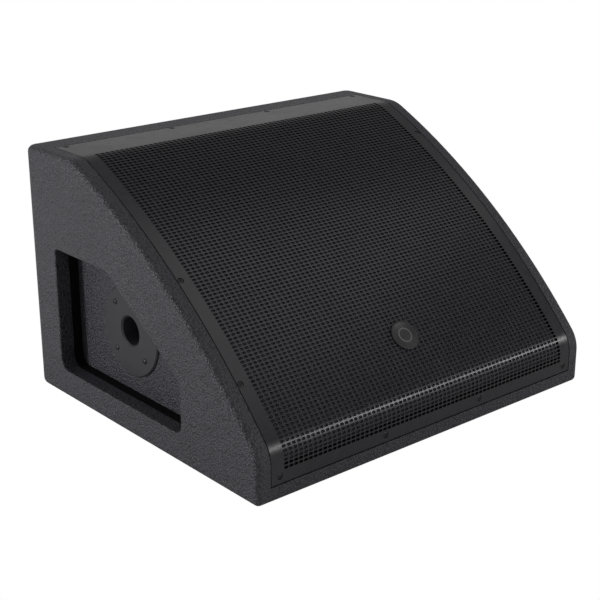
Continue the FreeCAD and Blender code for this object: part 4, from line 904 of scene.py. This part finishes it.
@dataclass(frozen=True)
class ScrewForm:
    """A cross-recess screw, drawn about Z with its head's rim at height 0. Metres."""

    name: str
    head_radius: float
    dome: float
    shank_radius: float
    length: float
    sunk: float = 0.0
    recess_depth: float = 0.0011

    ARM_TURN = math.radians(15.0)
    ARM = 0.52
    FLOOR = 0.72
    CORNERS = 12
    STEPS = 2 * CORNERS
    TIP = (0.3, 1.5)
    NECK = 0.45
    DOME = ((0.93, 0.45), (0.72, 0.86))

    def build(self) -> bpy.types.Object:
        """One screw, closed, with a cross sunk in its domed head."""
        arm = self.head_radius * self.ARM
        waist = arm * math.tan(self.ARM_TURN)
        crown = self.dome - self.sunk
        rim = -self.sunk
        points: list[tuple[float, float, float]] = []
        rings: list[list[int]] = []

        def circle(radius: float, height: float) -> None:
            """Adds a ring of points."""
            rings.append(list(range(len(points), len(points) + self.STEPS)))
            for step in range(self.STEPS):
                turn = 2 * math.pi * step / self.STEPS
                points.append((radius * math.cos(turn), radius * math.sin(turn), height))

        def cross(scale: float, height: float) -> list[int]:
            """Adds the corners of the cross."""
            start = len(points)
            for step in range(self.CORNERS):
                turn = self.ARM_TURN + step * math.pi / 6
                reach = math.hypot(waist, waist) if step % 3 == 1 else math.hypot(arm, waist)
                points.append((reach * scale * math.cos(turn), reach * scale * math.sin(turn), height))
            return list(range(start, start + self.CORNERS))

        tip = rim - self.length
        circle(self.shank_radius * self.TIP[0], tip)
        circle(self.shank_radius, tip + self.shank_radius * self.TIP[1])
        circle(self.shank_radius, rim - self.head_radius * self.NECK)
        circle(self.head_radius, rim)
        for reach, rise in self.DOME:
            circle(self.head_radius * reach, rim + (crown - rim) * rise)
        faces = [tuple(reversed(rings[0]))]
        for lower, upper in zip(rings, rings[1:]):
            faces += [(lower[n], lower[(n + 1) % self.STEPS], upper[(n + 1) % self.STEPS], upper[n])
                      for n in range(self.STEPS)]
        top = rings[-1]
        mouth = cross(1.0, crown)
        floor = cross(self.FLOOR, crown - self.recess_depth)
        for n in range(self.CORNERS):
            after = (n + 1) % self.CORNERS
            a, b, c = ((2 * n + k) % self.STEPS for k in (1, 2, 3))
            faces.append((top[a], top[b], mouth[n]))
            faces.append((top[b], top[c], mouth[after], mouth[n]))
            faces.append((mouth[n], mouth[after], floor[after], floor[n]))
        faces.append(tuple(floor))
        return Workshop.mesh_object(self.name, points, faces)


class ScrewSetter:
    """Sets screws of one form at given places, each turned by its own amount."""

    def __init__(self, shop: Workshop) -> None:
        """Builds the tree.

        Args:
            shop: makes and mounts the pieces.
        """
        self.shop = shop
        self.tree = self._tree()

    @staticmethod
    def _tree() -> bpy.types.NodeTree:
        """The tree that puts a screw on each point, along the point's own direction."""
        tree, graph, source, sink = new_group(
            "set screws", "GeometryNodeTree",
            {"Geometry": "NodeSocketGeometry", "Screw": "NodeSocketObject", "Seed": "NodeSocketInt",
             "Material": "NodeSocketMaterial"}, {"Geometry": "NodeSocketGeometry"})
        screw = graph.add("GeometryNodeObjectInfo", {"Object": source.outputs["Screw"]})
        out = graph.add("GeometryNodeInputNamedAttribute", {"Name": "out"}, data_type="FLOAT_VECTOR")
        facing = graph.add("FunctionNodeAlignRotationToVector", {"Vector": out.outputs[0]}, axis="Z")
        spin = graph.add("FunctionNodeRandomValue", data_type="FLOAT")
        low, high = [s for s in spin.inputs if s.name in ("Min", "Max") and s.type == "VALUE"][:2]
        graph.put(low, 0.0)
        graph.put(high, math.tau)
        graph.put(spin.inputs["Seed"], source.outputs["Seed"])
        turn = [s for s in spin.outputs if s.type == "VALUE"][0]
        euler = graph.add("ShaderNodeCombineXYZ", {"Z": turn}).outputs[0]
        own = graph.add("FunctionNodeEulerToRotation", {0: euler})
        rotation = graph.add("FunctionNodeRotateRotation", {0: facing.outputs[0], 1: own.outputs[0]},
                             rotation_space="LOCAL")
        placed = graph.add("GeometryNodeInstanceOnPoints", {
            "Points": source.outputs["Geometry"], "Instance": screw.outputs["Geometry"],
            "Rotation": rotation.outputs[0]})
        graph.paint_and_end(sink, placed.outputs[0], source.outputs["Material"])
        return tree

    def place(self, form: ScrewForm, spots: Sequence[tuple[Vector, Vector]], node: str, seed: int,
              slot: str = "black_steel") -> bpy.types.Object:
        """Sets the screws of one CAD node.

        Args:
            form: the screw.
            spots: where each head's seat is and the direction it faces.
            node: the CAD node that the screws stand for.
            seed: gives the screws their turns.
            slot: their finish.

        Returns:
            The screws as one piece.
        """
        screw = form.build()
        piece = self.shop.mesh_object(node + "_set", [spot for spot, _ in spots], [])
        out = piece.data.attributes.new("out", "FLOAT_VECTOR", "POINT")
        for value, (_, direction) in zip(out.data, spots):
            value.vector = direction
        self.shop.feed(piece, self.tree, {"Screw": screw, "Seed": seed, "Material": self.shop.paint[slot]})
        self.shop.settle(piece)
        self.shop.shade(piece)
        self.shop.discard(screw)
        return self.shop.mount(piece, slot, [node])


@dataclass
class Fasteners:
    """All the screws that show. Metres."""

    shop: Workshop
    outline: Outline
    row_end: float = 0.2364
    row_pitch: float = 0.1576
    sill_row: float = 0.0323
    top_row: float = 0.1775
    side_column: float = 0.2436
    side_runs: tuple[float, ...] = (0.1855, 0.325, 0.4645)

    def grille_spots(self) -> list[tuple[Vector, Vector]]:
        """Where the grille's screws go."""
        spots = []
        rear = self.outline.rear
        for x in (-self.row_end, -self.row_pitch / 2, self.row_pitch / 2, self.row_end):
            spots.append((Vector((x, -rear, self.sill_row)), Vector((0.0, -1.0, 0.0))))
            spots.append((Vector((x, self.top_row, self.outline.top)), Vector((0.0, 0.0, 1.0))))
        for x in (-self.side_column, self.side_column):
            for run in self.side_runs:
                point, out = self.outline.at_run(run)
                spots.append((point + Vector((x, 0.0, 0.0)), out))
        return spots

    @staticmethod
    def islands(node: str) -> list[tuple[Vector, Vector]]:
        """The middle of the box of each separate solid of a node: its centre, and half its spans."""
        mesh = bmesh.new()
        mesh.from_mesh(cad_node(node).data)
        bmesh.ops.remove_doubles(mesh, verts=mesh.verts, dist=1e-6)
        left = set(mesh.verts)
        found = []
        while left:
            start = left.pop()
            stack, seen = [start], [start]
            while stack:
                for edge in stack.pop().link_edges:
                    for vertex in edge.verts:
                        if vertex in left:
                            left.remove(vertex)
                            stack.append(vertex)
                            seen.append(vertex)
            low = Vector(min(v.co[k] for v in seen) for k in range(3))
            high = Vector(max(v.co[k] for v in seen) for k in range(3))
            found.append(((low + high) / 2, (high - low) / 2))
        mesh.free()
        return sorted(found, key=lambda item: tuple(round(c, 4) for c in item[0]))

    def facing_side(self, node: str, direction: float, dome: float) -> list[tuple[Vector, Vector]]:
        """Where the heads of a node's screws sit, for screws that face along X.

        Args:
            node: the CAD node.
            direction: 1 for +X, -1 for -X.
            dome: how proud a head is.

        Returns:
            The spots.
        """
        out = Vector((direction, 0.0, 0.0))
        return [(centre + out * (half.x - dome), out) for centre, half in self.islands(node)]

    def build(self, setter: ScrewSetter) -> None:
        """Sets every group of screws."""
        grille = ScrewForm("grille_screw", 0.0035, 0.0007, 0.0017, 0.0095, sunk=0.0007)
        panel = ScrewForm("panel_screw", 0.0036, 0.0016, 0.0018, 0.010)
        small = ScrewForm("small_screw", 0.0026, 0.0012, 0.0014, 0.0065)
        setter.place(grille, self.grille_spots(), "grille_screws", 3)
        rows = (("pole_socket_screws", panel, -1.0, 5), ("amp_panel_screws", panel, 1.0, 7),
                ("socket_screws", small, 1.0, 9))
        for node, form, direction, seed in rows:
            setter.place(form, self.facing_side(node, direction, form.dome), node, seed)


# ---- Badge ----

@dataclass
class Badge:
    """The round badge on the grille, with a plain ring let into its face. Metres."""

    shop: Workshop
    outline: Outline
    run: float = 0.4706
    radius: float = 0.019
    thickness: float = 0.0016
    rim: float = 0.0009
    ring_radius: float = 0.0088
    ring_half_width: float = 0.0011
    ring_height: float = 0.00025
    ring_root: float = 0.0004
    ring_soft: float = 0.0002
    foot_chamfer: tuple[float, float] = (0.0004, 0.0003)
    face_step: tuple[float, float] = (0.86, 0.84)
    face_sunk: float = 0.0002
    steps: int = 72

    def place(self, piece: bpy.types.Object) -> bpy.types.Object:
        """Moves a piece drawn about Z onto the grille."""
        point, out = self.outline.at_run(self.run)
        turn = out.to_track_quat("Z", "Y").to_matrix().to_4x4()
        piece.data.transform(Matrix.Translation(point) @ turn)
        return piece

    def build(self) -> None:
        """Builds the disc and its ring."""
        top, rim, radius = self.thickness, self.rim, self.radius
        section = [(0.0, 0.0), (radius - self.foot_chamfer[0], 0.0), (radius, self.foot_chamfer[1])]
        for turn in (0.0, 30.0, 60.0, 90.0):
            section.append((radius - rim + rim * math.cos(math.radians(turn)),
                            top - rim + rim * math.sin(math.radians(turn))))
        face = top - self.face_sunk
        section += [(radius * self.face_step[0], top), (radius * self.face_step[1], face), (0.0, face)]
        disc = self.shop.turned("badge_disc", section, self.steps)
        self.shop.mount(self.place(disc), "badge", ["grille_badge"])
        low, high = top - self.ring_root, face + self.ring_height
        inner, outer = self.ring_radius - self.ring_half_width, self.ring_radius + self.ring_half_width
        soft = self.ring_soft
        section = [(inner, low), (outer, low), (outer, high - soft), (outer - soft, high),
                   (inner + soft, high), (inner, high - soft)]
        ring = self.shop.turned("badge_ring", section, self.steps)
        self.shop.mount(self.place(ring), "badge", finish="badge_inlay")


# ---- Foam and wadding ----

@dataclass
class SoftLinings:
    """The foam behind the grille and the wadding on the rear board. Metres."""

    shop: Workshop
    outline: Outline
    foam_front: float = 0.0021
    foam_back: float = 0.0079
    foam_step: float = 0.006
    foam_edge: float = 0.6
    foam_swell: float = 0.4
    foam_edge_share: float = 0.012
    cell_wobble: float = 0.00035
    tuft_rows: int = 4
    tuft_columns: int = 6
    pad_cells: tuple[int, int] = (96, 60)
    pad_edge: float = 0.45
    pad_swell: float = 0.55
    pad_border: float = 0.03
    pad_loft: float = 0.8
    pad_wobble: float = 0.03
    tuft_loft: float = 0.16

    PAD_SHARP = math.radians(60.0)

    @staticmethod
    def wobble(x: float, y: float) -> float:
        """A smooth, fixed unevenness between -1 and 1."""
        return (math.sin(x * 91.0 + 1.3) * math.sin(y * 77.0 + 0.4) + math.sin(x * 233.0 + y * 190.0)) / 2

    def slab(self, name: str, across: int, along: int, place: Callable) -> bpy.types.Object:
        """A closed slab from a rule.

        Args:
            name: the piece's name.
            across: how many cells wide it is.
            along: how many cells long it is.
            place: gives the point for a share across, a share along and the face, 0 or 1.

        Returns:
            The slab.
        """
        points = [place(i / across, j / along, side) for side in (0, 1) for j in range(along + 1)
                  for i in range(across + 1)]
        layer = (across + 1) * (along + 1)
        faces = []
        for j in range(along):
            for i in range(across):
                base = j * (across + 1) + i
                ring = (base, base + 1, base + across + 2, base + across + 1)
                faces += [ring, tuple(layer + n for n in reversed(ring))]
        border = list(range(across)) + [(j + 1) * (across + 1) - 1 for j in range(along)]
        border += [layer - 1 - i for i in range(across)] + [(along - j) * (across + 1) for j in range(along)]
        for a, b in zip(border, border[1:] + border[:1]):
            faces.append((b, a, layer + a, layer + b))
        piece = self.shop.mesh_object(name, points, faces)
        outward(piece)
        return piece

    def foam(self) -> bpy.types.Object:
        """The thin dark foam that lines the grille."""
        low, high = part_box("grille_foam")
        start = self.outline.rear - high.y
        end = self.outline.length() - (low.z - self.outline.foot)

        def place(across: float, along: float, side: int) -> Vector:
            """A point of the foam, soft at its edges."""
            run = start + (end - start) * along
            point, out = self.outline.at_run(run)
            x = low.x + (high.x - low.x) * across
            middle = (self.foam_front + self.foam_back) / 2
            half = (self.foam_back - self.foam_front) / 2
            near = min(across, 1 - across, along, 1 - along)
            soft = self.foam_edge + self.foam_swell * min(1.0, near / self.foam_edge_share)
            swell = half * soft - self.cell_wobble * (1 + self.wobble(x, run))
            depth = middle + swell * (1 if side else -1)
            return point + Vector((x, 0.0, 0.0)) - out * depth

        across, along = round((high.x - low.x) / self.foam_step), round((end - start) / self.foam_step)
        piece = self.slab("grille_foam_sheet", across, along, place)
        self.shop.shade(piece)
        self.shop.mount(piece, "foam", ["grille_foam"])
        return piece

    def wadding(self) -> bpy.types.Object:
        """The tufted felt pad on the rear board."""
        low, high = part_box("damping_felt")

        def place(across: float, along: float, side: int) -> Vector:
            """A point of the pad: flat on the board, crowned between its tufts on the other face."""
            x = low.x + (high.x - low.x) * across
            z = low.z + (high.z - low.z) * along
            if not side:
                return Vector((x, high.y, z))
            near = min(across * (high.x - low.x), (1 - across) * (high.x - low.x),
                       along * (high.z - low.z), (1 - along) * (high.z - low.z))
            crown = self.pad_edge + self.pad_swell * math.sqrt(min(1.0, near / self.pad_border))
            tufts = abs(math.sin(math.pi * across * self.tuft_columns)
                        * math.sin(math.pi * along * self.tuft_rows))
            loft = crown * (self.pad_loft + self.tuft_loft * math.sqrt(tufts)
                            + self.pad_wobble * self.wobble(x, z))
            return Vector((x, high.y - (high.y - low.y) * loft, z))

        piece = self.slab("felt_pad", *self.pad_cells, place)
        self.shop.shade(piece, self.PAD_SHARP)
        self.shop.mount(piece, "felt", ["damping_felt"])
        return piece


# ---- Loudspeaker suspension ----

@dataclass
class Suspension:
    """The rubber roll and the corrugated disc that let the cone move. Metres.

    Each is cut into like sectors.
    """

    shop: Workshop
    sectors: int = 12
    steps: int = 6
    roll_wall: float = 0.0012
    waves: int = 3
    wave: float = 0.003
    disc_wall: float = 0.001
    roll_steps: int = 10
    disc_steps: int = 36

    SHARP = math.radians(50.0)

    def frame_of(self, node: str) -> tuple[Vector, Vector, Vector, Vector]:
        """A driver part's own axes.

        Args:
            node: a ring-shaped CAD node on the driver's axis.

        Returns:
            Its centre, across, up the slope, and out of the slope.
        """
        out = stroke_axis()
        across = Vector((1.0, 0.0, 0.0))
        up = out.cross(across)
        points = [v.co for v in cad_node(node).data.vertices]
        levels = [p.dot(out) for p in points]
        ups = [p.dot(up) for p in points]
        centre = out * min(levels) + up * ((min(ups) + max(ups)) / 2)
        return centre, across, up, out

    def sector(self, name: str, node: str, section: Sequence[tuple[float, float]], number: int,
               slot: str) -> bpy.types.Object:
        """One sector of a ring.

        Args:
            name: the piece's name.
            node: the CAD node it stands for.
            section: the closed section, as (radius, height) from the node's lowest level.
            number: which sector it is.
            slot: its finish.

        Returns:
            The sector.
        """
        centre, across, up, out = self.frame_of(node)
        span = math.tau / self.sectors
        points, faces = [], []
        count = len(section)
        for step in range(self.steps + 1):
            turn = span * (number - 0.5 + step / self.steps)
            ray = across * math.cos(turn) + up * math.sin(turn)
            points += [centre + ray * radius + out * height for radius, height in section]
        for step in range(self.steps):
            for n in range(count):
                after = (n + 1) % count
                a, b = step * count, (step + 1) * count
                faces.append((a + n, a + after, b + after, b + n))
        faces += [tuple(range(count)), tuple(reversed(range(self.steps * count, (self.steps + 1) * count)))]
        piece = self.shop.mesh_object("%s_%02d" % (name, number + 1), points, faces)
        outward(piece)
        self.shop.shade(piece, self.SHARP)
        piece.data.materials.append(self.shop.paint[slot])
        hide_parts(node)
        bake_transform(piece)
        return piece

    def radii_of(self, node: str) -> tuple[float, float]:
        """A ring's inner and outer radius."""
        centre, _, _, out = self.frame_of(node)
        found = []
        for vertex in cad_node(node).data.vertices:
            arm = vertex.co - centre
            found.append((arm - out * arm.dot(out)).length)
        return min(found), max(found)

    def build(self) -> None:
        """Builds the roll and the disc."""
        inner, outer = self.radii_of("cone_surround")
        middle, reach = (inner + outer) / 2, (outer - inner) / 2
        turns = [math.pi * n / self.roll_steps for n in range(self.roll_steps + 1)]
        roll = [(middle - reach * math.cos(t), reach * math.sin(t)) for t in turns]
        roll += [(middle + (reach - self.roll_wall) * math.cos(t), (reach - self.roll_wall) * math.sin(t))
                 for t in turns]
        inner, outer = self.radii_of("spider")
        shares = [n / self.disc_steps for n in range(self.disc_steps + 1)]
        heights = [self.wave * (1 - math.cos(math.tau * self.waves * share)) / 2 for share in shares]
        disc = [(inner + (outer - inner) * share, height) for share, height in zip(shares, heights)]
        disc += [(radius, height + self.disc_wall) for radius, height in reversed(disc)]
        for number in range(self.sectors):
            self.sector("surround_sector", "cone_surround", roll, number, "rubber")
            self.sector("spider_sector", "spider", disc, number, "spider_cloth")
        LOG.info("suspension: %d sectors for the roll and for the disc", self.sectors)


def stroke_axis() -> Vector:
    """The direction in which the cone moves."""
    for joint in frame["joints"]:
        if joint["name"] == "cone_stroke":
            return Vector(joint["axis"]).normalized()
    raise LookupError("the record has no cone_stroke")


# ---- Amplifier panel ----

@dataclass
class PanelControls:
    """The knob and the printed marks on the amplifier panel. Metres."""

    shop: Workshop
    ribs: int = 24
    rib_depth: float = 0.0005
    mark_count: int = 11
    mark_sweep: float = math.radians(300.0)
    mark_gap: float = 0.0025
    mark_length: float = 0.002
    mark_width: float = 0.0005
    print_height: float = 0.00012
    pointer_sunk: float = 0.0001
    pointer_spans: tuple[float, float] = (0.0003, 0.0009)
    pointer_middle: float = 0.45
    pointer_length: float = 0.62
    bar_bevel: float = 0.25

    KNOB = ((0.0, 0.0), (1.0, 0.0), (1.0, 0.16), (0.93, 0.22), (0.90, 0.86), (0.87, 0.95), (0.80, 1.0),
            (0.0, 1.0))
    RIBBED = (0.2, 0.9)
    RIB_STEPS = 4
    LONG_MARK = 1.5
    FRAMED = ((("input_socket", "link_socket"), 0.004), (("mains_inlet", "switch_housing"), 0.0035))

    def knob(self) -> None:
        """The ribbed knob with a pointer line."""
        low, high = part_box("level_knob")
        radius, tall = (high.y - low.y) / 2, high.x - low.x
        middle = Vector((low.x, (low.y + high.y) / 2, (low.z + high.z) / 2))
        points, faces = lathe([(r * radius, h * tall) for r, h in self.KNOB], self.ribs * self.RIB_STEPS)
        for point in points:
            share = point.z / tall
            reach = math.hypot(point.x, point.y)
            if self.RIBBED[0] < share < self.RIBBED[1] and reach > radius / 2:
                turn = math.atan2(point.y, point.x)
                groove = (1 - math.cos(turn * self.ribs)) / 2
                scale = (reach - self.rib_depth * groove) / reach
                point.x, point.y = point.x * scale, point.y * scale
        piece = self.shop.mesh_object("ribbed_knob", points, faces)
        outward(piece)
        turn = Vector((1.0, 0.0, 0.0)).to_track_quat("Z", "Y").to_matrix().to_4x4()
        piece.data.transform(Matrix.Translation(middle) @ turn)
        self.shop.shade(piece)
        self.shop.mount(piece, "control_plastic", ["level_knob"], "level_knob_body")
        centre = Vector((high.x - self.pointer_sunk, middle.y, middle.z + radius * self.pointer_middle))
        line = self.bar("knob_pointer", centre, (*self.pointer_spans, radius * self.pointer_length))
        self.shop.mount(line, "control_plastic", body="level_knob_body", finish="panel_print")

    def bar(self, name: str, centre: Vector, spans: Point, turn: float = 0.0) -> bpy.types.Object:
        """A small bar with softened edges, turned about X."""
        mesh = bmesh.new()
        bmesh.ops.create_cube(mesh, size=1.0)
        bmesh.ops.scale(mesh, vec=spans, verts=mesh.verts)
        bmesh.ops.bevel(mesh, geom=mesh.edges[:], offset=min(spans) * self.bar_bevel, segments=1,
                         affect="EDGES")
        bmesh.ops.rotate(mesh, cent=(0.0, 0.0, 0.0), matrix=Matrix.Rotation(turn, 3, "X"), verts=mesh.verts)
        bmesh.ops.translate(mesh, vec=centre, verts=mesh.verts)
        return from_bmesh(name, mesh)

    def join(self, name: str, parts: Sequence[bpy.types.Object]) -> bpy.types.Object:
        """Several meshes as one piece."""
        mesh = bmesh.new()
        for part in parts:
            mesh.from_mesh(part.data)
        self.shop.discard(*parts)
        return from_bmesh(name, mesh)

    def marks(self) -> None:
        """The ring of marks round the knob, and a frame of thin lines round each group."""
        low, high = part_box("level_knob")
        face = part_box("amp_panel")[1].x
        middle = Vector((face, (low.y + high.y) / 2, (low.z + high.z) / 2))
        reach = (high.y - low.y) / 2 + self.mark_gap + self.mark_length / 2
        parts = []
        for number in range(self.mark_count):
            turn = self.mark_sweep * (number / (self.mark_count - 1) - 0.5)
            centre = middle + Vector((0.0, math.sin(turn), math.cos(turn))) * reach
            chief = number in (0, self.mark_count // 2, self.mark_count - 1)
            long = self.mark_length * (self.LONG_MARK if chief else 1.0)
            parts.append(self.bar("mark", centre, (self.print_height * 2, self.mark_width, long), -turn))
        for nodes, room in self.FRAMED:
            parts += self.border(nodes, face, room)
        piece = self.join("panel_marks", parts)
        self.shop.mount(piece, "panel_paint", finish="panel_print")

    def border(self, nodes: Sequence[str], face: float, room: float) -> list[bpy.types.Object]:
        """Four thin printed lines round some nodes."""
        boxes = [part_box(node) for node in nodes]
        low_y, high_y = min(b[0].y for b in boxes) - room, max(b[1].y for b in boxes) + room
        low_z, high_z = min(b[0].z for b in boxes) - room, max(b[1].z for b in boxes) + room
        middle_y, middle_z = (low_y + high_y) / 2, (low_z + high_z) / 2
        wide, tall, line = high_y - low_y, high_z - low_z, self.mark_width
        spans = [((middle_y, low_z), (wide, line)), ((middle_y, high_z), (wide, line)),
                 ((low_y, middle_z), (line, tall)), ((high_y, middle_z), (line, tall))]
        return [self.bar("line", Vector((face, y, z)), (self.print_height * 2, a, b))
                for (y, z), (a, b) in spans]

    def build(self) -> None:
        """Builds the knob and the marks."""
        self.knob()
        self.marks()


# ---- Studio ----

@dataclass
class Studio:
    """A white floor and backdrop, soft lights and the camera. Metres, degrees and watts."""

    FILL = 0.28
    FLOOR_REACH = 3.0
    TARGET = (0.0, 0.0, 0.15)
    LIGHTS = (
        ("back", (0.8, 3.0, 1.1), (5.0, 1.6), 4.0),
        ("front", (2.3, -2.9, 1.2), (2.4, 0.4), 28.0),
        ("side", (-2.4, 1.0, 1.1), (0.7, 0.7), 13.0),
        ("rim", (-2.6, 1.0, 0.45), (0.25, 0.8), 22.0),
        ("overhead", (1.2, -0.6, 2.4), (1.6, 1.6), 5.0),
    )

    place: Point = (-1.0567, -1.2314, 0.7058)
    azimuth: float = -40.28
    elevation: float = 20.0
    roll: float = -0.12
    lens: float = 80.6
    sensor: float = 36.0

    def camera(self) -> None:
        """Creates the camera."""
        turn, lift, roll = (math.radians(a) for a in (self.azimuth, self.elevation, self.roll))
        back = Vector((math.sin(turn) * math.cos(lift), -math.cos(turn) * math.cos(lift), math.sin(lift)))
        right = Vector((math.cos(turn), math.sin(turn), 0.0))
        up = back.cross(right)
        level_right = right * math.cos(roll) + up * math.sin(roll)
        level_up = up * math.cos(roll) - right * math.sin(roll)
        data = bpy.data.cameras.new("camera")
        data.lens, data.sensor_width = self.lens, self.sensor
        data.clip_end = 50.0
        camera = add_object("camera", data)
        axes = Matrix((level_right, level_up, back)).transposed().to_4x4()
        camera.matrix_world = Matrix.Translation(self.place) @ axes
        bpy.context.scene.camera = camera

    @staticmethod
    def floor() -> None:
        """The floor: plain white to the camera, and white paper to everything it lights."""
        reach = Studio.FLOOR_REACH
        corners = [(-reach, -reach, 0.0), (reach, -reach, 0.0), (reach, reach, 0.0), (-reach, reach, 0.0)]
        piece = Workshop.mesh_object("floor", corners, [(0, 1, 2, 3)])
        material = bpy.data.materials.new("floor_paper")
        material.use_nodes = True
        material.node_tree.nodes.clear()
        graph = Graph(material.node_tree)
        seen = graph.add("ShaderNodeLightPath").outputs["Is Camera Ray"]
        paper = graph.add("ShaderNodeBsdfDiffuse", {"Color": (0.9, 0.9, 0.9, 1.0)}).outputs[0]
        glare = graph.add("ShaderNodeEmission", {"Color": (1.0, 1.0, 1.0, 1.0), "Strength": 1.0}).outputs[0]
        both = graph.add("ShaderNodeMixShader", {0: seen, 1: paper, 2: glare}).outputs[0]
        graph.put(graph.add("ShaderNodeOutputMaterial").inputs["Surface"], both)
        piece.data.materials.append(material)

    @staticmethod
    def light(name: str, place: Point, size: tuple[float, float], power: float) -> None:
        """Adds a soft rectangular light that points at the wedge.

        Args:
            name: the light's name.
            place: where it is.
            size: its width and height.
            power: its power in watts.
        """
        data = bpy.data.lights.new(name, "AREA")
        data.shape = "RECTANGLE"
        data.size, data.size_y = size
        data.energy = power
        lamp = add_object(name, data)
        aim = (Vector(Studio.TARGET) - Vector(place)).to_track_quat("-Z", "Y")
        lamp.matrix_world = Matrix.Translation(place) @ aim.to_matrix().to_4x4()

    @staticmethod
    def backdrop() -> None:
        """The world: plain white to the camera, a dim grey to everything it lights."""
        world = bpy.data.worlds.new("studio")
        world.use_nodes = True
        graph = Graph(world.node_tree)
        seen = graph.add("ShaderNodeLightPath").outputs["Is Camera Ray"]
        strength = graph.ramp(seen, 0.0, 1.0, Studio.FILL, 1.0)
        background = world.node_tree.nodes["Background"]
        background.inputs["Color"].default_value = (1.0, 1.0, 1.0, 1.0)
        graph.put(background.inputs["Strength"], strength)
        bpy.context.scene.world = world

    def build(self) -> None:
        """Builds the whole studio."""
        self.camera()
        self.floor()
        self.backdrop()
        for row in self.LIGHTS:
            self.light(*row)
        bpy.context.scene.view_settings.view_transform = "Standard"


def main() -> None:
    """Builds the wedge's looks around the frame."""
    paint = Paintbox(FINISHES)
    paint.dress_frame(frame["nodes"])
    LOG.info("%d CAD nodes dressed", len(frame["nodes"]))
    shop = Workshop(paint)
    outline = Outline()
    Studio().build()
    fasteners = Fasteners(shop, outline)
    PerforatedGrille(shop, outline, follow_outline_tree()).build(fasteners.grille_spots())
    fasteners.build(ScrewSetter(shop))
    Badge(shop, outline).build()
    linings = SoftLinings(shop, outline)
    linings.foam()
    linings.wadding()
    Suspension(shop).build()
    PanelControls(shop).build()


if __name__ == "__main__":
    logging.basicConfig(level=logging.INFO)
    main()
